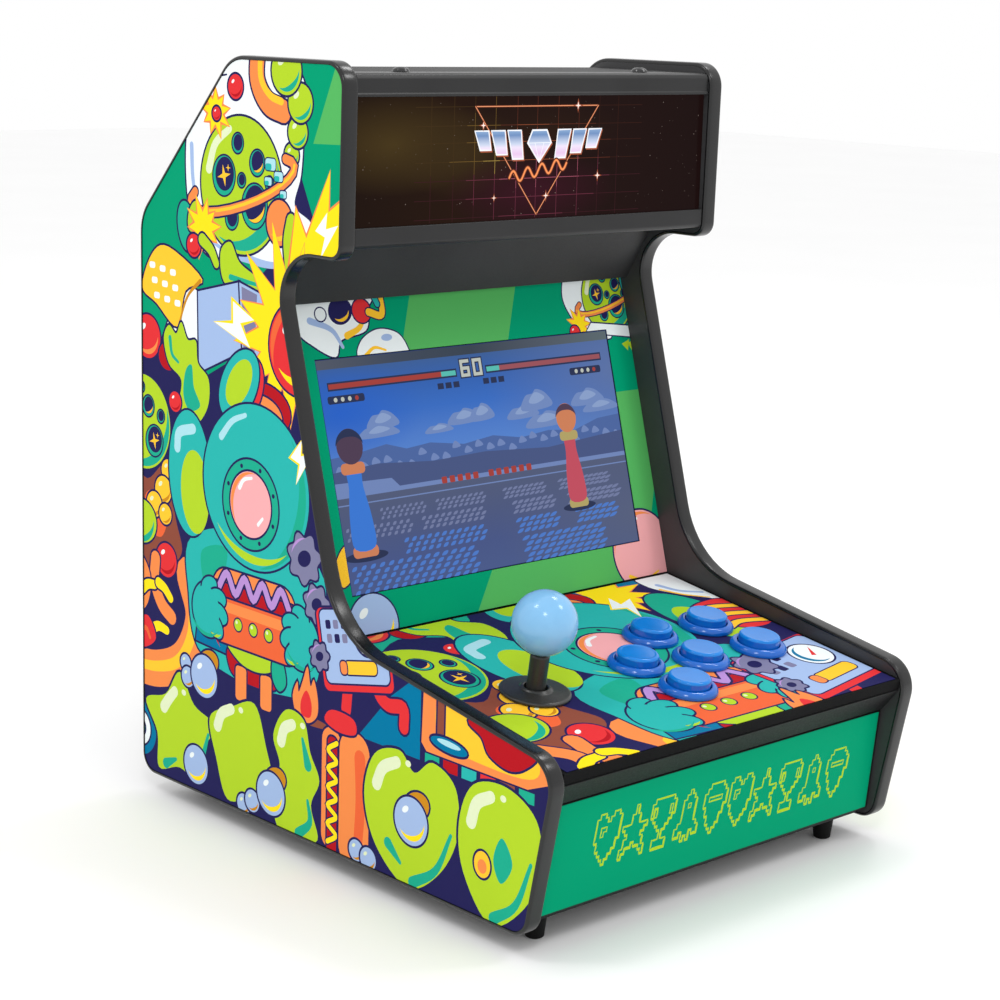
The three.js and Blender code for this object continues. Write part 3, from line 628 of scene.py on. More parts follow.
def bolt(art, x, y, size, tilt=0):
    zigzag = [(-0.5, 0.1), (0.15, 0.62), (0.02, 0.12), (0.62, 0.2), (-0.35, -0.75), (-0.06, -0.12)]
    points = placed(zigzag, x, y, size, tilt)
    art.fill("yellow", grown(points, size * 0.07))
    art.fill("white", points)


def burst(art, x, y, outer, inner, spikes, phase=0, uneven=0.16):
    points = star(x, y, outer, inner, spikes, phase, uneven)
    art.fill("orange", grown(points, art.line))
    art.fill("yellow", points)


def gear(art, x, y, r):
    teeth, steps = 7, 56
    reach = [r * (1 + 0.13 * math.sin(2 * math.pi * teeth * k / steps)) for k in range(steps)]
    art.shape("grey", [polar(x, y, far, 360 * k / steps) for k, far in enumerate(reach)])
    art.fill("lilac", crescent(x, y, r * 0.86, 130, 90, 0.14))
    art.fill("navy", ellipse(x, y, r * 0.45, r * 0.34, 25, 24))


def balloon(art, points, shine, shade=()):
    """A shiny lime balloon with a highlight along one shoulder and sea-green shading along its foot."""
    art.shape("lime", points, art.line * 1.2)
    for path in shade:
        art.fill("sea", stroke(path, 6.5, taper=0.35))
    art.fill("cream", stroke(shine, 7.5, taper=0.85))
    art.fill("cream", ellipse(shine[-1][0] + 9, shine[-1][1] + 1.5, 2.2, 1.8, 0, 14))


def puff(art, x, y, r, face):
    """A padded grip of four round rolls side by side, which point to the side that face, -1 or 1, says."""
    art.shape("teal", ellipse(x, y - r * 0.1, r * 0.95, r, 0, 36))
    rolls = ((0.05, 0.78, 0.4), (0.55, 0.42, 0.42), (0.66, -0.12, 0.42), (0.45, -0.62, 0.42))
    for k, (dx, dy, size) in enumerate(rolls):
        cx, cy = x + face * r * dx, y + r * dy
        art.shape("teal", ellipse(cx, cy, r * size * 1.15, r * size * 0.8, face * (20 - 22 * k), 28))
        if k in (1, 3):
            art.fill("lime", crescent(cx, cy, r * size * 0.95, -90, 110, 0.3))
    art.fill("teal", ellipse(x - face * r * 0.12, y - r * 0.1, r * 0.78, r * 0.84, 0, 36))
    art.fill("sea", crescent(x - face * r * 0.1, y - r * 0.12, r * 0.98, -100, 120, 0.14))


def capsule(art, x, y, w, h):
    """An orange capsule of two halves with a red filling, a lilac squiggle and a row of lime studs."""
    def bar(half, low, high, r):
        return rounded_box(x - w * half, y + h * low, x + w * half, y + h * high, h * r)
    art.shape("orange", bar(0.46, -0.05, 0.5, 0.3))
    art.shape("crimson", bar(0.49, -0.02, 0.3, 0.14))
    art.shape("flame", bar(0.5, -0.5, 0.1, 0.26))
    art.fill("orange", bar(0.46, -0.08, 0.06, 0.06))
    art.fill("crimson", crescent(x - w * 0.22, y - h * 0.18, h * 0.5, 200, 70, 0.1))
    waves = [(x - w * 0.4 + w * 0.8 * k / 8, y + h * (0.44 if k % 2 else 0.2)) for k in range(9)]
    art.fill("navy", stroke(waves, h * 0.16))
    art.fill("lilac", stroke(waves, h * 0.1))
    for k in range(3):
        art.shape("lime", ellipse(x + (k - 1) * w * 0.17, y - h * 0.2, h * 0.08, count=20), art.line * 0.7)
        art.fill("cream", ellipse(x + (k - 1) * w * 0.17 - h * 0.03, y - h * 0.17, h * 0.025, count=8))


def flame(art, x, y, s):
    outer = [(-0.55, -0.8), (-0.75, -0.2), (-0.5, 0.35), (-0.42, 0.0), (-0.2, 0.45), (0.05, 1.0), (0.22, 0.35),
             (0.4, 0.62), (0.62, 0.0), (0.6, -0.6), (0.2, -0.95), (-0.2, -0.95)]
    inner = [(-0.25, -0.75), (-0.3, -0.3), (0.0, 0.15), (0.28, -0.25), (0.22, -0.75)]
    art.shape("orange", blob(placed(outer, x, y, s), 4))
    art.fill("red", blob(placed(inner, x, y, s), 4))


def tablet(art, x, y, s, tilt):
    """A periwinkle tablet in a red rim, with a dial, a gold bar and two rows of keys."""
    def box(*sides_and_radius):
        return placed(rounded_box(*sides_and_radius), x, y, s, tilt)
    art.shape("red", box(-1.08, -0.86, 1.08, 0.8, 0.16))
    art.shape("sky", box(-0.98, -0.7, 0.98, 0.76, 0.14), art.line * 0.8)
    dial = placed([(0.42, 0.22)], x, y, s, tilt)[0]
    art.shape("white", ellipse(*dial, s * 0.36))
    art.fill("deep_teal", crescent(*dial, s * 0.3, 200, 200, 0.3))
    art.fill("red", placed([(0.38, 0.18), (0.64, 0.42), (0.46, 0.14)], x, y, s, tilt))
    art.shape("gold", box(-0.35, -0.52, 0.62, -0.26, 0.1), art.line * 0.7)
    art.shape("orange", box(-0.5, -0.52, -0.3, -0.26, 0.08), art.line * 0.7)
    for row in range(2):
        for column in range(3):
            left, low = -0.82 + column * 0.24, 0.1 + row * 0.28
            key = box(left, low, left + 0.16, low + 0.18, 0.04)
            art.fill("navy" if (row + column) % 2 else "grey", key)


# ---------------------------------------------------------------- the mural
TOP_CRATERS = ((-0.42, 0.12, 0.27), (0.34, -0.28, 0.3), (0.4, 0.36, 0.17), (-0.08, 0.62, 0.13),
               (-0.22, -0.5, 0.15), (0.02, 0.08, 0.09), (0.7, 0.08, 0.09))
LEFT_CRATERS = ((0.42, -0.36, 0.3), (0.2, 0.36, 0.2), (-0.3, 0.1, 0.22), (0.66, 0.2, 0.12),
                (-0.05, 0.74, 0.1))


def mural_backdrop(art):
    art.fill("light_green", [(157, 379), (177, 424), (188, 424), (188, 380)])
    ground = [(-30, -10), (-30, 264), (22, 262), (60, 244), (96, 262), (104, 300), (128, 318), (147, 362),
              (158, 340), (172, 300), (225, 262), (225, 120), (352, 130), (352, -10)]
    art.fill("navy", ground)
    cloud = [(45, 372), (52, 394), (66, 410), (82, 422), (104, 430), (130, 426), (150, 408), (149, 384),
             (147, 362), (142, 346), (156, 338), (162, 324), (146, 312), (118, 312), (92, 316), (72, 312),
             (58, 318), (47, 340)]
    art.shape("white", blob(cloud))
    art.fill("sky", stroke([(50, 372), (52, 350), (62, 326), (82, 316)], 3.5, taper=0.6))
    art.fill("sky", stroke([(96, 315), (122, 313), (148, 317)], 5, taper=0.5))


def mural_top(art):
    art.shape("orange", stroke([(110, 428), (109, 410), (118, 398), (132, 394)], 12))
    art.fill("gold", stroke([(112, 428), (112, 411), (120, 402), (130, 399)], 4))
    bead_chain(art, [(139, 372, 6), (144, 384, 8), (146, 399, 10), (134, 415, 12.5)])
    planet(art, 95, 353, 36, TOP_CRATERS, 16)
    orb(art, 90, 405, 6.5, "red", "crimson")
    art.fill("navy", stroke([(66, 403), (72, 409), (82, 411)], 1.0))
    burst(art, 72, 391, 13, 6.5, 9, 10)
    orb(art, 73, 390, 3.6, "red", "crimson")
    for x, y, r in ((121, 366, 4.4), (128, 360, 3.6), (119, 357, 3), (132, 351, 2.6)):
        art.shape("cyan", rounded_box(x - r, y - r * 0.7, x + r, y + r * 0.7, r * 0.4), 0.7)
        art.fill("teal", rounded_box(x - r, y - r * 0.7, x + r * 0.2, y + r * 0.1, r * 0.3))
    art.shape("sea", ellipse(45, 327, 8, 14, 12, 28))
    art.shape("lime", ellipse(52, 333, 5, 9, -20, 24))
    burst(art, 61, 328, 16, 8, 10, 5)
    orb(art, 52, 317, 6.3, "red", "crimson")
    art.shape("lime", stroke([(60, 321), (68, 316), (73, 309)], 7, taper=0.7))
    art.shape("lime", blob([(77, 316), (86, 322), (94, 312), (108, 306), (122, 300), (98, 296), (80, 300)]))
    art.fill("sea", stroke([(86, 303), (100, 302), (116, 301)], 3.4, taper=0.5))
    art.shape("orange", ellipse(129, 336, 11, 12, 0, 32))
    art.fill("gold", crescent(129, 336, 9.5, -60, 160, 0.3))
    art.shape("lime", stroke([(139, 338), (136, 327), (137, 314)], 7.5, taper=0.8))
    spikes = [(138, 315), (143, 345), (152, 330), (171, 366), (170, 345), (188, 356), (188, 315)]
    art.fill("orange", grown(spikes, 1.6))
    art.fill("yellow", spikes)
    bolt(art, 168, 334, 17, 8)


def mural_boxes(art):
    art.shape("white", [(22, 262), (55, 248), (56, 292), (40, 297)])
    art.shape("sky", [(56, 292), (94, 301), (97, 264), (57, 247)])
    art.shape("sky", [(94, 301), (134, 292), (132, 256), (97, 264)])
    art.fill("grey", [(96, 299), (110, 296), (108, 262), (98, 265)])
    art.shape("gold", blob([(2, 289), (12, 309), (28, 314), (60, 299), (44, 291), (36, 270), (16, 281)], 5))
    art.fill("ochre", stroke([(58, 298), (46, 288), (38, 272)], 2.4, taper=0.6))
    for row in range(3):
        for column in range(3):
            x, y = 12 + column * 10 + row * 2.2, 303 - row * 8.4 - column * 1.2
            art.fill("white", rounded_box(x - 2.8, y - 2.4, x + 2.8, y + 1.2, 1.4))
    burst(art, 139, 276, 54, 27, 13, 22)
    orb(art, 146, 271, 25, "red", "yellow")
    art.fill("flame", crescent(146, 271, 24, 150, 120, 0.2))
    bolt(art, 92, 278, 25, -62)


def mural_left(art):
    orb(art, 7, 261, 12.5, "red", "orange")
    art.shape("crimson", ellipse(27, 252, 9, 8, 0, 24))
    art.shape("lime", blob([(23, 262), (28, 270), (35, 266), (40, 273), (46, 264), (54, 264), (56, 252),
                            (66, 244), (65, 228), (52, 216), (38, 224), (40, 240), (28, 248)]))
    art.fill("sea", blob([(44, 246), (50, 250), (52, 238), (58, 228), (48, 224), (42, 232)]))
    art.fill("sea", stroke([(29, 263), (31, 254), (37, 250)], 3, taper=0.6))
    planet(art, 2, 211, 27, LEFT_CRATERS)
    orb(art, 34, 227, 5.8, "red", "crimson")
    art.shape("brown", blob([(-14, 186), (6, 178), (26, 190), (34, 160), (40, 140), (20, 128), (-14, 132)]))
    art.fill("flame", blob([(4, 168), (16, 172), (26, 160), (20, 146), (6, 150)]))
    bead_chain(art, [(27, 186, 6.5), (22, 174, 8), (13, 164, 7.5), (24, 160, 6)], "gold")
    art.shape("lime", ellipse(0, 152, 15, 13, 0, 30))
    art.fill("sea", crescent(0, 152, 12.5, -60, 140, 0.3))
    art.shape("orange", stroke([(46, 128), (55, 104), (42, 78), (16, 66), (-14, 64)], 22))
    art.fill("gold", stroke([(52, 112), (49, 92), (36, 75), (14, 67), (-10, 65)], 9, taper=0.6))
    orb(art, 25, 133, 10, "red", "crimson")
    art.shape("orange", stroke([(14, 132), (13, 118), (20, 106), (30, 100)], 9))
    art.shape("orange", stroke([(-6, 132), (4, 120), (2, 106), (-8, 98)], 9))
    for points in ([(0, 111), (6, 115), (13, 116)], [(17, 118), (23, 116), (29, 111)],
                   [(10, 89), (17, 92), (25, 91)]):
        art.shape("yellow", stroke(points, 6.5, taper=0.8))
    art.shape("red", blob([(-6, 90), (6, 96), (14, 84), (2, 76), (-10, 78)]))
    art.fill("flame", stroke([(-3, 86), (4, 88), (8, 83)], 3.5, taper=0.6))


def mural_machine(art):
    """A teal orb with a riveted porthole, tanks at its sides, a hatch, and the capsule held under it."""
    art.shape("sea", ellipse(178, 192, 18, 33, 8, 40))
    art.fill("lime", ellipse(176, 184, 12, 22, 8, 32))
    art.shape("crimson", ellipse(113, 234, 27, 15, 0, 36))
    art.shape("orange", ellipse(112, 230, 21, 12, 0, 32))
    art.fill("gold", ellipse(114, 228, 14, 9, 0, 28))
    art.shape("red", ellipse(98, 242, 14.5, 23, -38, 36))
    art.shape("teal", ellipse(94, 245, 14.5, 23, -38, 36))
    art.fill("lime", ellipse(94, 246, 9, 16, -38, 30))
    art.shape("teal", blob([(50, 152), (47, 118), (56, 88), (90, 78), (130, 78), (160, 86), (170, 118),
                            (166, 156), (110, 166)]))
    art.fill("sea", blob([(60, 146), (62, 126), (72, 118), (84, 150)]))
    art.shape("teal", ellipse(48, 188, 20, 36, 3, 44))
    art.fill("lime", ellipse(53, 178, 13.5, 24, 4, 36))
    art.fill("cyan", stroke([(36, 201), (38, 210), (51, 214)], 6))
    art.shape("teal", ellipse(109, 190, 47.5, 46, 0, 64))
    art.fill("sea", crescent(109, 190, 45, -20, 130, 0.16))
    art.fill("lime", crescent(109, 190, 43, -96, 96, 0.11))
    art.fill("cyan", stroke([(78, 214), (88, 224), (100, 229)], 4.5, taper=0.6))
    art.shape("sea", ellipse(105, 180, 25, count=48))
    for k in range(8):
        art.fill("navy", ellipse(*polar(105, 180, 22, 22 + 45 * k), 1.3, count=12))
    art.shape("pink", ellipse(105, 180, 18.4, count=44))
    art.fill("orange", crescent(105, 180, 18, 150, 150, 0.16))
    art.fill("white", stroke([(95, 188), (99, 193), (106, 195)], 2.8, taper=0.6))
    art.fill("white", stroke([(112, 170), (116, 174)], 2.2, taper=0.8))
    art.shape("deep_teal", [(54, 92), (56, 104), (92, 106), (90, 90)])
    art.shape("crimson", blob([(88, 96), (86, 84), (96, 78), (122, 78), (132, 84), (130, 96)], 5))
    for x in (97, 120):
        art.shape("orange", rounded_box(x - 5, 66, x + 5, 86, 2.5))
    art.shape("lime", blob([(86, 98), (94, 89), (109, 86), (124, 89), (132, 98)], 5))
    art.shape("sea", blob([(126, 96), (134, 98), (138, 86), (132, 80), (126, 86)], 5))
    capsule(art, 108, 118, 82, 43)
    puff(art, 66, 114, 16, 1)
    puff(art, 151, 114, 16, -1)


def mural_right(art):
    art.fill("deep_teal", [(200, 72), (226, 100), (250, 118), (250, 72)])
    art.fill("deep_teal", blob([(186, 232), (200, 246), (226, 244), (226, 206), (202, 214)], 5))
    art.shape("white", blob([(196, 240), (210, 248), (228, 246), (228, 196), (214, 204), (204, 222)], 5))
    art.fill("sky", blob([(206, 236), (216, 238), (220, 222), (212, 218)], 5))
    art.shape("red", blob([(196, 196), (214, 200), (224, 176), (220, 150), (198, 146), (190, 172)], 5))
    for k in range(3):
        art.shape("gold", stroke([(194, 186 - 13 * k), (204, 190 - 13 * k), (218, 186 - 13 * k)], 5))
    gear(art, 153, 159, 13)
    gear(art, 164, 136, 10)
    art.shape("red", stroke([(194, 118), (192, 104), (190, 84)], 8))
    art.shape("red", stroke([(214, 112), (216, 100), (224, 95), (236, 96), (237, 86)], 7.5))
    tablet(art, 196, 119, 27, 12)
    gear(art, 167, 108, 7.5)
    art.fill("brown", ellipse(156, 70, 20, 2.6, 0, 24))
    flame(art, 156, 84, 16)
    art.shape("orange", [(252, 112), (251, 82), (255, 78), (330, 78), (345, 84), (346, 100), (300, 122),
                         (256, 124)])
    art.fill("gold", blob([(262, 106), (262, 92), (268, 84), (320, 82), (338, 88), (330, 104), (300, 116),
                           (266, 116)], 5))
    art.shape("brown", rounded_box(263, 84, 268, 112, 1.5))
    art.shape("deep_teal", ellipse(272, 85, 14, 3.6, -3, 30))
    art.fill("cyan", ellipse(272, 86, 9, 1.6, -3, 20))
    art.shape("crimson", blob([(286, 102), (298, 112), (318, 110), (336, 98), (328, 88), (316, 84), (302, 88),
                               (296, 96)], 5))
    for k, name in enumerate(("sea", "crimson", "teal", "red", "brown", "sea")):
        art.fill(name, [(254 + 14 * k, 71), (254 + 14 * k, 77), (265 + 14 * k, 77), (265 + 14 * k, 71)])


def mural_balloons(art):
    """The row of balloons along the foot: star, clover, cloud, capsule, heart and gem shapes."""
    art.shape("deep_teal", ellipse(-3, 26, 17, count=40))
    art.shape("white", ellipse(-3, 26, 11, count=36))
    art.shape("sea", ellipse(-3, 26, 5.5, count=30))
    five = blob([(38 + (24 if k % 2 else 36) * math.sin(math.pi * k / 5),
                  34 + (23 if k % 2 else 35) * math.cos(math.pi * k / 5)) for k in range(10)])
    balloon(art, five, [(22, 44), (27, 50), (33, 56)], [[(54, 8), (60, 22), (66, 38)], [(24, 10), (34, 15)]])
    clover = blob([(97 + (25 if k % 2 else 32) * math.sin(math.pi * k / 4 + 0.4),
                    36 + (26 if k % 2 else 34) * math.cos(math.pi * k / 4 + 0.4)) for k in range(8)])
    balloon(art, clover, [(75, 46), (79, 54), (88, 59)], [[(96, 7), (112, 12), (122, 26)]])
    cloud = blob([(131, 2), (127, 22), (133, 38), (127, 54), (138, 71), (154, 69), (160, 52), (168, 38),
                  (161, 22), (167, 4), (148, -2)])
    balloon(art, cloud, [(134, 52), (137, 60), (144, 64)],
            [[(150, 3), (160, 12), (158, 24)], [(158, 44), (153, 58)]])
    art.shape("orange", rounded_box(170, 2, 186, 71, 8))
    art.shape("crimson", rounded_box(175, -2, 183, 66, 3.5))
    squiggle = [(179 + (3.6 if k % 2 else -3.6), 6 + 5.2 * k) for k in range(12)]
    art.fill("navy", stroke(squiggle, 4.4))
    art.fill("yellow", stroke(squiggle, 2.8))
    art.shape("orange", rounded_box(185, -3, 210, 73, 11))
    art.fill("flame", stroke([(202, 60), (203, 36), (201, 8)], 9, taper=0.8))
    art.shape("red", blob([(172, 74), (178, 81), (196, 80), (198, 72), (184, 70)], 5))
    heart = blob([(242, 0), (216, 16), (206, 42), (214, 66), (234, 73), (246, 64), (260, 73), (278, 64),
                  (280, 38), (266, 14)])
    balloon(art, heart, [(216, 50), (221, 60), (232, 66)],
            [[(246, 4), (264, 16), (275, 38)], [(226, 20), (236, 12)]])
    gem = blob([(306, 0), (285, 22), (281, 48), (291, 70), (315, 75), (337, 64), (341, 40), (330, 16)])
    balloon(art, gem, [(290, 50), (294, 61), (304, 67)], [[(308, 4), (324, 16), (334, 40)]])
    art.fill("sea", blob([(313, 24), (307, 35), (313, 48), (321, 36)], 6))
    art.shape("gold", ellipse(299, 30, 6, 7, 0, 26))
    art.fill("orange", ellipse(299, 29, 3.4, 3.8, 0, 20))
    bead_chain(art, [(44, 76, 5), (46, 68, 6)], "sky")
    orb(art, 62, 72, 12.5, cap="ochre")
    orb(art, 54, 17, 11.5)
    bead_chain(art, [(100, 6, 6), (108, 10, 6.5)], "sky")
    orb(art, 125, 19, 12.5, cap="ochre")
    bead_chain(art, [(200, 8, 6), (210, 6, 6.5)], "sky")
    orb(art, 244, 37, 13, cap="ochre")


def mural(art):
    mural_backdrop(art)
    mural_top(art)
    mural_boxes(art)
    mural_left(art)
    mural_machine(art)
    bolt(art, 149, 212, 17, 10)
    mural_right(art)
    mural_balloons(art)


# ---------------------------------------------------------------- the overlay, bezel and kick panel
def overlay_art(art):
    """The middle of the mural again, larger and closer together."""
    art.fill("sea", blob([(-132, 182), (-132, 150), (-96, 168), (-60, 158), (-40, 182)], 5))
    art.fill("deep_teal", blob([(50, 182), (70, 160), (100, 172), (132, 160), (132, 182)], 5))
    burst(art, 66, 166, 32, 16, 12, 12)
    art.place(mural_left, (-117, -138), 1.24)
    art.place(mural_machine, (10.4 - 105 * 1.17, 105 - 180 * 1.17), 1.17)
    bolt(art, 63, 150, 21, 14)
    art.shape("white", blob([(104, 182), (100, 166), (108, 152), (120, 140), (132, 134), (132, 182)], 5))
    art.fill("sky", stroke([(108, 166), (114, 154), (126, 146)], 4, taper=0.6))
    art.fill("gold", stroke([(104, 160), (112, 148), (124, 138)], 2.4, taper=0.6))
    art.shape("red", blob([(96, 126), (112, 134), (132, 130), (132, 96), (112, 92), (98, 104)], 5))
    for k in range(3):
        art.shape("gold", stroke([(98, 122 - 12 * k), (112, 126 - 12 * k), (134, 120 - 12 * k)], 5))
    art.shape("red", stroke([(96, 10), (94, -8)], 9))
    tablet(art, 98, 37, 37, 10)
    gear(art, 68, 52, 12)
    gear(art, 65, 22, 8)
    flame(art, 54, 4, 17.6)


def bezel_planet(art):
    art.shape("white", blob([(-56, 10), (-40, 40), (-6, 44), (10, -40), (-30, -34), (-50, -14)]))
    planet(art, 10, 0, 37, TOP_CRATERS, 14)
    art.shape("teal", blob([(34, 22), (46, 30), (52, 10), (38, 4)]))
    burst(art, -38, -26, 17, 8, 9)
    orb(art, -46, -34, 7, "red", "crimson")
    art.shape("white", [(-30, -36), (44, -46), (44, -34), (-20, -26)])
    for k in range(4):
        art.fill("lime", [(22 + 9 * k, -52), (30 + 9 * k, -60 - 5 * (k % 2)), (34 + 9 * k, -48)])


def bezel_art(art):
    art.fill("light_green", [(-36, 190), (46, 190), (30, 150), (-52, 150)])
    art.fill("light_green", [(-8, 24), (-28, -4), (96, -4), (104, 24)])
    art.fill("light_green", [(110, 114), (136, 114), (136, 62), (120, 20), (110, 20)])
    art.shape("white", blob([(-122, 190), (-122, 170), (-112, 160), (-98, 153), (-92, 162), (-74, 166),
                             (-70, 178), (-66, 190)]), 1.0)
    art.fill("sky", stroke([(-112, 174), (-98, 168), (-92, 158)], 4, taper=0.5))
    art.fill("gold", stroke([(-88, 164), (-78, 168), (-73, 176)], 4, taper=0.6))
    art.shape("navy", ellipse(-90, 178, 8, 7, 20, 28), 0.6)
    art.fill("gold", crescent(-90, 178, 6, -70, 140, 0.32))
    art.shape("white", ellipse(-104, 177, 3.6, count=20), 0.8)
    art.shape("red", ellipse(-75, 177, 6.4, 6.6, 0, 26), 0.9)
    art.shape("gold", stroke([(-70, 176), (-61, 174), (-60, 186)], 4.4, taper=0.8), 0.8)
    art.shape("teal", stroke([(-66, 188), (-63, 180)], 4, taper=0.8), 0.8)
    art.shape("white", blob([(-80, 150), (-79, 160), (-66, 166), (-52, 163), (-46, 154), (-47, 146)]), 0.8)
    art.fill("gold", stroke([(-77, 152), (-70, 156), (-62, 154)], 2.4, taper=0.5))
    art.fill("sky", ellipse(-60, 161, 4, 2, 0, 18))
    art.place(bezel_planet, (112, 172), 0.56, 1.6)
    art.shape("pink", ellipse(114, 16, 24.5, 25, 0, 56), 1.2)
    art.fill("orange", crescent(114, 16, 24, 120, 120, 0.12))
    art.fill("gold", stroke([(100, 2), (112, -2), (125, 2)], 2.4, taper=0.5))
    art.fill("white", stroke([(98, 28), (104, 34), (113, 36)], 2.8, taper=0.6))
    art.shape("gold", blob([(-121, 40), (-112, 50), (-108, 36), (-118, 28)]), 0.9)
    orb(art, -101, 5, 17)


# Heart, star, trophy, rocket and gem, as rows of pixels from the top down.
PIXEL_SHAPES = [rows.split() for rows in (
    ".##...##. ####.#### ######### ##..##### ##.###### #########"
    " .#######. .#######. ..#####.. ...###... ....#....",
    "....#.... ....#.... ...###... ...###... ######### .#######."
    " ..#####.. .#######. .###.###. ##.....## #.......#",
    ".#######. ######### #.#####.# #.#####.# .#######. ..#####.."
    " ...###... ....#.... ....#.... ..#####.. ..#####..",
    "....#.... ...###... ..#####.. ..##.##.. ..#####.. ..#####.."
    " ..#####.. .#######. ######### ##.###.## ...#.#...",
    "..#####.. .#######. ######### ##.....## ######### .#######."
    " .#######. ..#####.. ..#####.. ...###... ....#....",
)]


def pixel_outlines(rows):
    """The closed outlines of a pixel shape, in pixels, outer ones anticlockwise."""
    filled = {(x, y) for y, row in enumerate(reversed(rows)) for x, mark in enumerate(row) if mark == "#"}
    sides = {}
    for x, y in filled:
        corners = [(x, y), (x + 1, y), (x + 1, y + 1), (x, y + 1), (x, y)]
        neighbours = [(x, y - 1), (x + 1, y), (x, y + 1), (x - 1, y)]
        for neighbour, start, end in zip(neighbours, corners, corners[1:]):
            if neighbour not in filled:
                sides.setdefault(start, []).append(end)
    loops = []
    while sides:
        start = min(sides)
        loop, here = [], start
        while True:
            ahead = sides[here].pop()
            if not sides[here]:
                del sides[here]
            loop.append(here)
            here = ahead
            if here == start:
                break
        loops.append(loop)
    return loops


def kick_art(art):
    """A slanting row of pixel shapes in outline, each with a thicker lower edge."""
    pitch, low, lean, across, up = 20.4, 19.5, 0.12, 2.0, 2.55
    for cell in range(10):
        left = -97 + pitch * cell
        for loop in pixel_outlines(PIXEL_SHAPES[cell % len(PIXEL_SHAPES)]):
            shape = [(left + x * across + y * up * lean, low - 0.45 * cell + y * up) for x, y in loop]
            hole = sum(a[0] * b[1] - b[0] * a[1] for a, b in zip(loop, loop[1:] + loop[:1])) < 0
            if hole:
                shape = shape[::-1]
                art.fill("lime", grown(shape, 0.25))
                art.fill("green", grown(shape, -0.2))
                continue
            art.fill("lime", grown([(x + 0.35, y - 0.85) for x, y in shape], 0.25))
            art.fill("lime", grown(shape, 0.25))
            art.fill("green", grown(shape, -0.25))


# ---------------------------------------------------------------- printed sheets
class Region:
    """A closed outline that can tell whether it winds round a place."""

    def __init__(self, points):
        self.points = [Vector(p) for p in points]
        self.left, self.right = min(p[0] for p in points), max(p[0] for p in points)
        self.low, self.high = min(p[1] for p in points), max(p[1] for p in points)

    def meets(self, other):
        return (self.left < other.right and self.right > other.left
                and self.low < other.high and self.high > other.low)

    def holds(self, x, y):
        if not (self.left < x < self.right and self.low < y < self.high):
            return False
        winding = 0
        for a, b in zip(self.points, self.points[1:] + self.points[:1]):
            if (a.y <= y) != (b.y <= y):
                across = (b.x - a.x) * (y - a.y) - (x - a.x) * (b.y - a.y)
                if a.y <= y and across > 0:
                    winding += 1
                elif b.y <= y and across < 0:
                    winding -= 1
        return winding != 0


def printed_sheet(name, outline, art, matrix, background, inks=INKS, holes=(), thickness=SHEET, flip=False):
    """A closed sheet, thickness in mm, whose front is divided along the drawing's outlines into inks."""
    sheet, openings = Region(outline), [Region(h) for h in holes]
    shapes = [(ink_name, Region(points)) for ink_name, points in reversed(art.shapes)]
    shapes = [(ink_name, region) for ink_name, region in shapes if region.meets(sheet)]
    points, edges = [], []
    for region in [sheet] + openings + [r for _, r in shapes]:
        start, count = len(points), len(region.points)
        edges += [(start + k, start + (k + 1) % count) for k in range(count)]
        points += region.points
    verts, _, cells, _, _, _ = delaunay_2d_cdt(points, edges, [], 0, 1e-3, False)
    names = [background] + sorted({ink_name for ink_name, _ in shapes if ink_name != background})
    bm = bmesh.new()
    made = [bm.verts.new(matrix @ Vector((v[0] * MM, v[1] * MM, 0))) for v in verts]
    for cell in cells:
        x, y = (sum(verts[i][axis] for i in cell) / 3 for axis in (0, 1))
        if not sheet.holds(x, y) or any(r.holds(x, y) for r in openings):
            continue
        face = bm.faces.new([made[i] for i in (reversed(cell) if flip else cell)])
        over = next((ink_name for ink_name, r in shapes if r.holds(x, y)), background)
        face.material_index = names.index(over)
    bmesh.ops.delete(bm, geom=[v for v in bm.verts if not v.link_faces], context="VERTS")
    rim = [e for e in bm.edges if e.is_boundary]
    drop = matrix.to_3x3() @ Vector((0, 0, (thickness if flip else -thickness) * MM))
    grown_rim = bmesh.ops.extrude_edge_only(bm, edges=rim)["geom"]
    bmesh.ops.translate(bm, verts=[g for g in grown_rim if isinstance(g, bmesh.types.BMVert)], vec=drop)
    back_edges = [g for g in grown_rim if isinstance(g, bmesh.types.BMEdge) and g.is_boundary]
    bmesh.ops.triangle_fill(bm, use_beauty=False, edges=back_edges)
    bmesh.ops.recalc_face_normals(bm, faces=bm.faces)
    obj = object_from(name, [], [], [inks[n] for n in names])
    bm.to_mesh(obj.data)
    bm.free()
    return obj


def printed_piece(node, slot, *sheet, **more):
    finish_piece(printed_sheet(node + "_print", *sheet, **more), "cabinet", slot, node)


def drawn(artwork, line=1.3):
    art = Drawing(line=line)
    artwork(art)
    return art


def side_graphics():
    outline = [tuple(p) for p in side_outline(SIDE_GRAPHIC["inset"])]
    art = drawn(mural)
    for side, sign in (("left", -1), ("right", 1)):
        x = sign * (HALF_WIDTH - SIDE_GRAPHIC["recess"] * MM)
        matrix = Matrix(((0, 0, -1, x), (-1, 0, 0, y_of(0)), (0, 1, 0, z_of(0)), (0, 0, 0, 1)))
        printed_piece(f"side_graphic_{side}", "side_art", outline, art, matrix, "green", flip=sign > 0)


def bezel_graphic():
    margin, half = 0.5, BEZEL["half"]
    sheet = rectangle(-half, margin, half, BEZEL["length"] - margin)
    opening = rectangle(-SCREEN["half"], SCREEN["low"], SCREEN["half"], SCREEN["high"])
    art = drawn(bezel_art, 1.0)
    printed_piece("bezel_graphic", "bezel_art", sheet, art, sloping(**BEZEL), "green", holes=[opening])


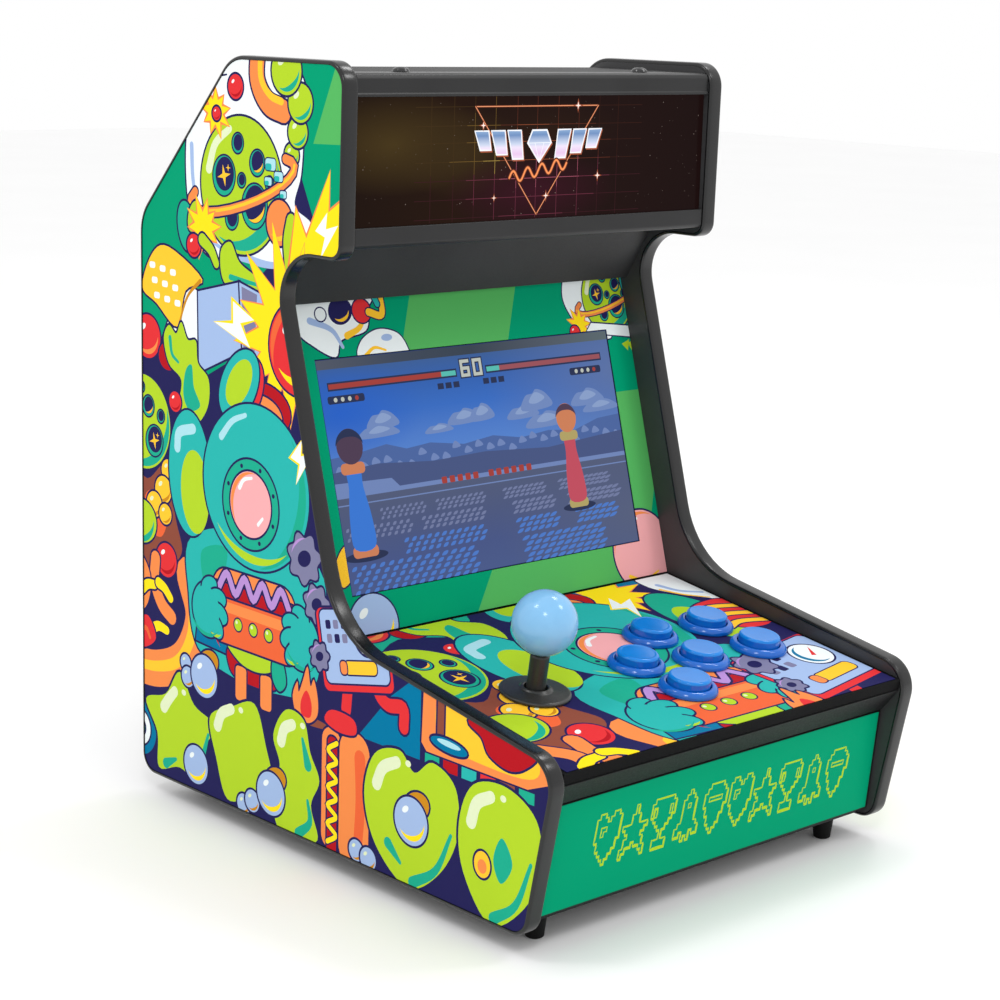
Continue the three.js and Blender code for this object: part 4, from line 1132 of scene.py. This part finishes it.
def control_overlay():
    sheet = rectangle(-CONTROL["half"], 0, CONTROL["half"], CONTROL["length"])
    holes = [ellipse(*JOYSTICK, STICK_HOLE, count=48)]
    holes += [ellipse(x, s, BUTTON_HOLE, count=48) for x, s in BUTTONS]
    art = drawn(overlay_art)
    printed_piece("control_panel_overlay", "panel_art", sheet, art, PANEL_FRAME, "navy", holes=holes)


def kick_graphic():
    sheet = rectangle(-KICK["half"], KICK["low"], KICK["half"], KICK["high"])
    printed_piece("kick_graphic", "kick_art", sheet, drawn(kick_art), sloping(**KICK), "green")


# ---------------------------------------------------------------- marquee
MARQUEE_CODES = {
    "neon": "f7a878", "neon_dim": "a4563a", "halo": "42201a", "hot": "ffeee4", "squiggle": "ff9a5c",
    "star": "7d7068", "edge": "f4f6fa",
    "gold_bright": "a58a45", "gold_middling": "6e5428", "gold_faint": "3f2e18",
    "rose_bright": "a35468", "rose_middling": "6a2f40", "rose_faint": "3a1a20",
    "rust_bright": "8a4a30", "rust_middling": "5a2c20", "rust_faint": "361c15",
}


def line_between(a, b, width):
    return stroke([a, b], width, smooth=False)


def grid_line(art, a, b, pieces=14):
    """A fine line that is bright towards the middle of the marquee and golden on its left."""
    for k in range(pieces):
        start, end = (Vector(a).lerp(Vector(b), share / pieces) for share in (k, k + 1.02))
        middle = (start + end) / 2
        away = math.hypot((middle.x + 2) / 62, (middle.y - 370) / 36)
        tint = "gold" if middle.x < -28 and middle.y > 366 else ("rose" if middle.y < 367 else "rust")
        strength = "bright" if away < 0.55 else ("middling" if away < 0.95 else "faint")
        art.fill(f"{tint}_{strength}", line_between(tuple(start), tuple(end), 0.3))


def marquee():
    matrix = sloping(MARQUEE["f"], 0, 90)
    glows = [(-104, 379, 70, 27, "46371b"), (-58, 374, 50, 24, "3a2c17"), (-4, 352, 66, 22, "381320"),
             (6, 384, 60, 18, "2a1a12")]
    inks = glow_inks("marquee", MARQUEE_CODES)
    inks["night"] = glow_ramp("marquee_night", matrix, 0, -132, 132,
                              ["1e130e", "25160f", "1e1110", "1f1110", "1b0e0e"], spots=glows)
    inks["chrome"] = glow_ramp("marquee_chrome", matrix, 1, 368, 385.5,
                               ["f2eef6", "e4bfe6", "e9dcf2", "c3d0e8", "4f7db4", "7ba3cd"],
                               [0.0, 0.24, 0.45, 0.55, 0.82, 1.0])
    art = Drawing()
    rng = random.Random(7)
    for _ in range(150):
        r = rng.choice([0.1, 0.13, 0.16, 0.2, 0.3])
        art.fill("star", ellipse(rng.uniform(-130, 130), rng.uniform(338, 403), r, count=6))
    for height in (339, 349, 359, 369, 379, 388, 398):
        grid_line(art, (-90, height), (80, height))
    for across in (-79, -63, -48, -33, -17, -2, 14, 30, 46, 61):
        grid_line(art, (across, 337.5), (across, 403), 8)
    corners = [(-48, 398), (45, 398), (-1, 339)]
    for a, b in zip(corners, corners[1:] + corners[:1]):
        art.fill("halo", line_between(a, b, 1.3))
        art.fill("neon_dim", line_between(a, b, 0.7))
        art.fill("neon", line_between(a, b, 0.32))
    emblem = [[(-9, 378), (-5.5, 385), (5.5, 385), (9, 378), (0, 367.5)]]
    for side in (-1, 1):
        for k in range(3):
            inner, low = 12 + 12 * k, 369.5 + 2.6 * k
            emblem.append([(side * inner, low), (side * (inner + 8), low), (side * (inner + 12), 385),
                           (side * (inner + 2), 385)])
    for outline in emblem:
        art.fill("neon_dim", [(x + 0.6, y - 0.8) for x, y in grown(outline, 0.35)])
        art.fill("edge", grown(outline, 0.35))
        art.fill("chrome", grown(outline, -0.25))
    for facet in ([(-9, 378), (9, 378)], [(-3.4, 378), (0, 368)], [(3.4, 378), (0, 368)]):
        art.fill("edge", line_between(*facet, 0.35))
    wave = [(-22 + 1.35 * k, 359.5 + 0.22 * k + 3.1 * math.sin(math.pi * k / 4)) for k in range(33)]
    art.fill("halo", stroke(wave, 2.8))
    art.fill("neon_dim", stroke(wave, 1.7))
    art.fill("squiggle", stroke(wave, 0.95))
    for x, y, r in ((29, 398, 4), (46, 359, 3.6), (-42, 388, 3.4), (-33, 349, 2.6), (6, 349, 3.4)):
        art.fill("neon_dim", sparkle(x, y, r))
        art.fill("hot", sparkle(x, y, r * 0.55))
    half = MARQUEE["half"]
    sheet = rectangle(-half, MARQUEE["low"], half, MARQUEE["high"])
    obj = printed_sheet("marquee_print", sheet, art, matrix, "night", inks, thickness=MARQUEE["thickness"])
    finish_piece(obj, "cabinet", "marquee_art", "marquee_panel")


# ---------------------------------------------------------------- display
DISPLAY_CODES = {
    "rim": "24386e", "cloud": "6c83b4", "cloud_light": "8398c0", "hill": "4a6298", "hill_dark": "46537c",
    "haze": "6c80b0", "tile": "4b74be", "tile_far": "6d769a", "shadow": "2b3350", "bar": "9c3f3a",
    "bar_right": "925058", "energy": "55b3a8", "pale": "b4b9b0", "brown": "4c3c50", "orange": "c47a56",
    "blue": "3a72c8", "red": "b84c5c", "gold": "a99a62",
}
# The seven bars of a digit: top, upper left, upper right, middle, lower left, lower right, bottom.
SEGMENTS = {"6": "1101111", "0": "1110111"}


def digit(art, which, x, y, w, h, t):
    right, top, middle = x + w, y + h, y + h / 2
    bars = [
        (x, top - t, right, top), (x, middle, x + t, top), (right - t, middle, right, top),
        (x, middle - t / 2, right, middle + t / 2),
        (x, y, x + t, middle), (right - t, y, right, middle), (x, y, right, y + t),
    ]
    lit = [rectangle(*bar) for bar, on in zip(bars, SEGMENTS[which]) if on == "1"]
    for bar in lit:
        art.fill("shadow", grown(bar, 0.8))
    for bar in lit:
        art.fill("pale", bar)


def token(art, x, foot, tones, scale=1.0):
    """A game piece like a tall pawn: base, body, collar, head and cap, each in its own tone."""
    side = [(5.6, 4), (6.2, 16), (4, 30), (3.6, 38)]
    outline = [(-a, b) for a, b in side] + side[::-1]
    parts = (rounded_box(-7, 0, 7, 5, 2), blob(outline, 4), rounded_box(-6.6, 36, 6.6, 41, 2),
             ellipse(0, 48, 7.2, 7.8, 0, 28), crescent(0, 48, 7.6, 90, 170, 0.45))
    art.fill("shadow", ellipse(x, foot + 0.5, 12 * scale, 2.3 * scale, 0, 26))
    for tone, points in zip(tones, parts):
        art.fill(tone, placed(points, x, foot, scale))


def display():
    """The picture on the display: a sky, hills and a tiled floor with two game pieces, under a score bar."""
    matrix = sloping(**BEZEL) @ Matrix.Translation((0, 0, -0.5 * MM))
    inks = glow_inks("display", DISPLAY_CODES)
    inks["band"] = glow_ramp("display_band", matrix, 0, -113, 113,
                             ["4f5563", "3d4656", "36404c", "4c5460", "59666a"])
    inks["sky"] = glow_ramp("display_sky", matrix, 1, 92, 148,
                            ["557fc4", "4a74be", "3565b6", "2f5aa4", "3a5788"],
                            spots=[(118, 128, 110, 60, "5a6c98"), (-100, 122, 60, 30, "2259bb")])
    inks["floor"] = glow_ramp("display_floor", matrix, 1, 22, 74, ["485784", "465380", "4b5578", "505872"],
                              spots=[(120, 40, 120, 50, "555d76")])

    def screen(inset):
        return -SCREEN["half"] + inset, SCREEN["low"] + inset, SCREEN["half"] - inset, SCREEN["high"] - inset

    art = Drawing()
    left, low, right, high = screen(0.8)
    display_sky(art, left, right, high)
    display_floor(art, left, right, low)
    display_scores(art)
    token(art, -98, 42, ("orange", "blue", "orange", "brown", "shadow"), 1.28)
    token(art, 68, 49, ("gold", "red", "gold", "orange", "brown"), 1.12)
    obj = printed_sheet("display_picture", rectangle(*screen(0.5)), art, matrix, "rim", inks, thickness=0.2)
    finish_piece(obj, "cabinet", "screen")


def display_sky(art, left, right, high):
    art.fill("sky", rectangle(left, 84, right, high - 5))
    art.fill("band", rectangle(left, high - 5.2, right, high))
    for x, y, w, h in ((-72, 116, 11, 5), (-76, 110, 14, 3.6), (-32, 107, 10, 2.6), (-12, 112, 12, 4.4),
                       (2, 113, 9, 5), (34, 110, 12, 4), (46, 116, 12, 6), (52, 104, 16, 4.6),
                       (88, 114, 13, 5), (98, 108, 14, 3.6)):
        art.fill("cloud", blob([(x - w, y - h), (x - w * 0.7, y + h * 0.4), (x - w * 0.2, y + h * 0.6),
                                (x + w * 0.1, y + h), (x + w * 0.7, y + h * 0.5), (x + w, y - h * 0.8)], 5))
        art.fill("cloud_light", blob([(x - w * 0.5, y - h * 0.2), (x, y + h * 0.7), (x + w * 0.6, y + h * 0.1),
                                      (x, y - h * 0.4)], 5))
    ridge = [(left, 98), (-95, 99), (-72, 102), (-58, 98), (-40, 99.5), (-15, 96), (8, 98.5), (30, 95),
             (52, 97), (74, 95), (94, 100), (right, 101)]
    art.fill("hill", ridge + [(right, 80), (left, 80)])
    rng = random.Random(3)
    for k in range(26):
        x, y = left + 5 + 8.6 * k, rng.uniform(90, 97)
        art.fill("haze", blob([(x - 3, y - 2.4), (x - 0.5, y + 1.6), (x + 3.4, y - 1.8)], 4))
    near_ridge = [(left, 90), (-80, 92), (-40, 89), (0, 90), (50, 87), (right, 91)]
    art.fill("hill_dark", near_ridge + [(right, 78), (left, 78)])
    art.fill("haze", [(left, 78), (left, 84), (-72, 83), (-66, 77)])
    art.fill("haze", rectangle(left, 75.5, right, 78))


def display_floor(art, left, right, low):
    """A floor of small leaning tiles, whose rows stand closer together the farther away they are."""
    art.fill("floor", rectangle(left, low, right, 75.5))
    art.fill("haze", rectangle(left, 71.2, right, 71.9))
    for top, rows, gap, pitch, name, blocks in (
            (66.5, 3, 2.3, 4.2, "tile_far", ((-84, -49), (-43, -3), (9, 43), (54, 97))),
            (58, 3, 2.7, 4.8, "tile_far", ((-110, -60), (-55, -5), (15, 50), (60, 106))),
            (47.6, 3, 3.2, 5.6, "tile", ((-70, -8), (16, 51), (65, 102))),
            (36.6, 5, 3.3, 6.6, "tile", ((-110, -16), (19, 86)))):
        for row in range(rows):
            for x0, x1 in blocks:
                for k in range(int((x1 - x0) / pitch)):
                    x, y = x0 + (k + 0.3 + 0.4 * (row % 2)) * pitch, top - row * gap
                    w, h, lean = pitch * 0.46, gap * 0.34, x * 0.01
                    art.fill(name, blob([(x - w - lean, y - h), (x - w * 0.2, y + h * 0.8),
                                         (x + w + lean, y + h), (x + w * 0.3, y - h * 0.8)], 3))


def display_scores(art):
    """A row of red blocks in the middle and, along the top, two bars, rows of dots and the timer's digits."""
    for k in range(12):
        if k != 5:
            art.fill("bar", rounded_box(-36 + 6 * k, 75.4, -32 + 6 * k, 79.2, 0.8))
    for x0, x1, name, e0, e1 in ((-106, -13, "bar", -24, -13), (11, 104, "bar_right", 11, 21)):
        art.fill("shadow", rectangle(x0 - 0.8, 134.6, x1 + 0.8, 139.4))
        art.fill(name, rectangle(x0, 135.6, x1, 138.4))
        art.fill("energy", rectangle(e0, 135.6, e1, 138.4))
        for k in range(3):
            art.fill("shadow", rectangle(e0 - 4 + 6 * k, 128.6, e0 + 0.5 + 6 * k, 132))
    for x in (-95, 90):
        art.fill("shadow", rounded_box(x - 13, 127.4, x + 13, 131.8, 1.4))
        for k in range(4):
            art.fill("pale" if k < 3 else "bar", ellipse(x - 7.5 + 5 * k, 129.6, 1.3, count=16))
    digit(art, "6", -9, 134, 7, 10, 1.9)
    digit(art, "0", 0.6, 134, 7, 10, 1.9)


# ---------------------------------------------------------------- controls
def buttons():
    body = [(0, -22), (8, -22), (8, -15), (14.8, -15), (14.8, 0.3), (16.2, 0.3), (16.5, 0.8, 0.3),
            (16.4, 2.2, 2), (15.2, 3.9, 2.4), (13.5, 4.4, 1.4), (12.5, 4.1, 0.3), (12.4, 3.4), (12.4, -12),
            (0, -12)]
    cap = [(0, -8.4), (11.9, -8.4), (11.9, 7.9, 1.6), (10.7, 8.95, 1.6), (9.2, 8.75, 0.8), (0, 8.6)]
    for number, (x, s) in enumerate(BUTTONS, 1):
        matrix = PANEL_FRAME @ Matrix.Translation((x * MM, s * MM, 0))
        # The bore inside the rim takes the darker blue, painted shade in the groove; the rest takes the rim
        # blue.
        housing = turned(f"button_housing_{number}_fine", body, matrix, [BLUE_RIM, BLUE_BORE_PAINTED_SHADE],
                         bands=lambda r, z: 1 if r < 12.45 and z > -12.5 else 0)
        finish_piece(housing, "cabinet", "button_blue", f"button_housing_{number}")
        # Above z 7.6 mm the plunger takes the lighter blue, painted light on its top; its sides take the rim
        # blue.
        plunger = turned(f"button_plunger_{number}_fine", cap, matrix, [BLUE_TOP_PAINTED_LIGHT, BLUE_RIM],
                         bands=lambda r, z: 1 if z < 7.6 else 0)
        finish_piece(plunger, f"button_{number}", "button_blue", f"button_plunger_{number}")


def joystick():
    matrix = PANEL_FRAME @ Matrix.Translation((JOYSTICK[0] * MM, JOYSTICK[1] * MM, 0))
    start = math.degrees(math.asin(5.8 / 17.5))
    globe = [(0, 34.5), (3.2, 34.5), (3.2, 23.1)]
    for k in range(33):
        a = math.radians(start + (180 - start) * k / 32)
        globe.append((17.5 * math.sin(a) if k < 32 else 0, 40 - 17.5 * math.cos(a)))
    ball = turned("joystick_ball_fine", globe, matrix, [BALL], segments=72)
    finish_piece(ball, "joystick", "ball_blue", "joystick_ball")
    sleeve = [(3.2, -17.5), (5.2, -17.5), (5.2, 21.4, 0.8), (4.6, 22.6, 0.6), (3.2, 22.7)]
    # The stick cover and the dust washer take the lightened plastic, a painted sheen.
    cover = turned_ring("joystick_shaft_cover_fine", sleeve, matrix, STICK_PLASTIC_PAINTED_SHEEN)
    finish_piece(cover, "joystick", "black_plastic", "joystick_shaft_cover")
    disc = [(6.5, 0.35), (18.9, 0.35), (19.5, 0.9, 0.5), (19.4, 1.9, 0.9), (18.2, 2.45, 1.2), (9, 3.1, 3),
            (7.8, 4.2, 0.6), (6.9, 4.35, 0.3), (6.5, 3.9)]
    washer = turned_ring("dust_washer_upper_fine", disc, matrix, STICK_PLASTIC_PAINTED_SHEEN)
    finish_piece(washer, "dust_washer_upper", "black_plastic", "dust_washer_upper")
    for node in ("joystick_body", "joystick_gate", "joystick_actuator", "joystick_pivot",
                 "dust_washer_lower"):
        set_material(node, PLASTIC)


# ---------------------------------------------------------------- other pieces
def set_material(node, material):
    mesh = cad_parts[node].data
    mesh.materials.clear()
    mesh.materials.append(material)


def shell():
    for node in ("bottom_panel", "rear_panel", "rear_upper_panel", "top_panel", "bezel_panel"):
        refined(node, BOARD)
    refined("control_panel", BOARD_EDGE)
    for node in ("front_rail", "kick_panel"):
        refined(node, BOARD_GREY)
    # The speaker panel under the marquee takes the lightened board, painted light on its shaded underside.
    refined("speaker_panel", BOARD_SOFFIT_PAINTED_LIGHT)
    for node in ("marquee_top_retainer", "marquee_bottom_retainer"):
        refined(node, RETAINER, width=0.0006, slot="molding_black", angle=12)
    # The side panels take the lightened board, painted light on their inner faces.
    for side in ("left", "right"):
        set_material(f"side_panel_{side}", BOARD_SIDES_PAINTED_LIGHT)
    set_material("screen_panel", GLASS_EDGE)


def feet():
    profile = [(0, 6), (2.4, 6), (2.4, 0), (4.0, 0), (4.9, 0.7, 0.6), (6.3, 12.4, 0.6), (6.4, 13.7),
               (0, 13.7)]
    for end in ("front", "rear"):
        for side, x in (("left", -FEET["x"]), ("right", FEET["x"])):
            matrix = Matrix.Translation((x * MM, y_of(FEET[end]), 0))
            obj = turned(f"foot_{end}_{side}_fine", profile, matrix, [RUBBER], 48)
            finish_piece(obj, "cabinet", "rubber", f"foot_{end}_{side}")


def marquee_screws():
    profile = [(0, -8), (1.9, -8), (1.9, 0.2), (4.7, 0.2), (4.65, 0.6, 0.3), (4.1, 1.6, 1.2), (2.6, 2.45, 1.2),
               (1.6, 2.65, 0.3), (1.2, 1.6), (0, 1.4)]
    for side, x in (("left", -SCREWS["x"]), ("right", SCREWS["x"])):
        matrix = Matrix.Translation((x * MM, y_of(SCREWS["f"]), z_of(TOP_H)))
        obj = turned(f"marquee_screw_{side}_fine", profile, matrix, [SCREW], 48)
        finish_piece(obj, "cabinet", "steel", f"marquee_screw_{side}")


def rear_screws():
    """Six small round-headed screws along the sides of the rear panel, with a recess in each head."""
    profile = [(0, 0.02), (3.4, 0.02), (3.35, 0.5, 0.25), (2.8, 1.3, 0.9), (1.6, 1.8, 0.8), (1.0, 1.85, 0.2),
               (0.8, 1.1), (0, 1.0)]
    outwards = Matrix.Rotation(math.radians(-90), 4, "X")
    for row, h in enumerate(REAR["screw_rows"], 1):
        for side, x in (("left", -REAR["screw_x"]), ("right", REAR["screw_x"])):
            matrix = Matrix.Translation((x * MM, y_of(REAR["face"]), z_of(h))) @ outwards
            obj = turned(f"rear_screw_{side}_{row}", profile, matrix, [SCREW], 32)
            finish_piece(obj, "cabinet", "steel")


def rear_fittings():
    refined("power_switch_frame", PLASTIC, width=0.0004, slot="black_plastic")
    refined("power_switch", PLASTIC, "power_switch", 0.0005, "black_plastic")
    for node in ("power_inlet", "volume_knob", "speaker_left", "speaker_right"):
        set_material(node, PLASTIC)
    for node in ("volume_control", "joystick_shaft", "joystick_spring"):
        set_material(node, STEEL)
    for node in ("game_board", "joystick_switch_board", "marquee_light"):
        set_material(node, CIRCUIT)


# ---------------------------------------------------------------- stage
def camera():
    """The view of the photograph: a long lens from the front left, a little above the cabinet."""
    yaw, pitch, roll = (math.radians(a) for a in (43.19, 12.16, 1.63))
    ahead = Vector((math.sin(yaw) * math.cos(pitch), math.cos(yaw) * math.cos(pitch), -math.sin(pitch)))
    right = Vector((math.cos(yaw), -math.sin(yaw), 0))
    up = right.cross(ahead)
    right, up = (right * math.cos(roll) + up * math.sin(roll), up * math.cos(roll) - right * math.sin(roll))
    data = bpy.data.cameras.new("camera")
    data.sensor_width = 36
    data.lens = 82.64
    data.clip_end = 50
    obj = bpy.data.objects.new("camera", data)
    place = Vector((-0.88283, -1.09361 + DEPTH / 2, 0.46319))
    obj.matrix_world = Matrix.Translation(place) @ Matrix((right, up, -ahead)).transposed().to_4x4()
    bpy.context.scene.collection.objects.link(obj)
    bpy.context.scene.camera = obj


def area_light(name, place, target, size, power):
    data = bpy.data.lights.new(name, "AREA")
    data.shape = "DISK"
    data.size = size
    data.energy = power
    obj = bpy.data.objects.new(name, data)
    obj.location = place
    obj.rotation_euler = (Vector(target) - Vector(place)).to_track_quat("-Z", "Y").to_euler()
    bpy.context.scene.collection.objects.link(obj)


def studio():
    paper = mottled("floor_paper", "fafafa", "fcfcfc", (0.75, 0.85), 40, 0.00005, patch=3, specular=0.2)
    corners = [(x, y, 0) for x, y in rectangle(-6, -6, 6, 6)]
    object_from("floor", corners, [(0, 1, 2, 3)], [paper])
    world = bpy.data.worlds.new("studio")
    world.use_nodes = True
    world.node_tree.nodes["Background"].inputs["Color"].default_value = (1, 1, 1, 1)
    world.node_tree.nodes["Background"].inputs["Strength"].default_value = 1.0
    bpy.context.scene.world = world
    middle = (0, 0, 0.2)
    for name, place in (("rear_left", (-0.95, 0.27, 1.95)), ("front_left", (-1.03, -1.1, 1.5)),
                        ("front_right", (1.0, -0.96, 1.65)), ("rear_right", (1.1, 0.1, 1.87))):
        area_light(name, place, middle, 0.4, 4.4)
    bpy.context.scene.view_settings.view_transform = "Standard"


camera()
studio()
shell()
t_molding("left", -1)
t_molding("right", 1)
side_graphics()
bezel_graphic()
control_overlay()
kick_graphic()
marquee()
display()
buttons()
joystick()
feet()
marquee_screws()
rear_screws()
rear_fittings()
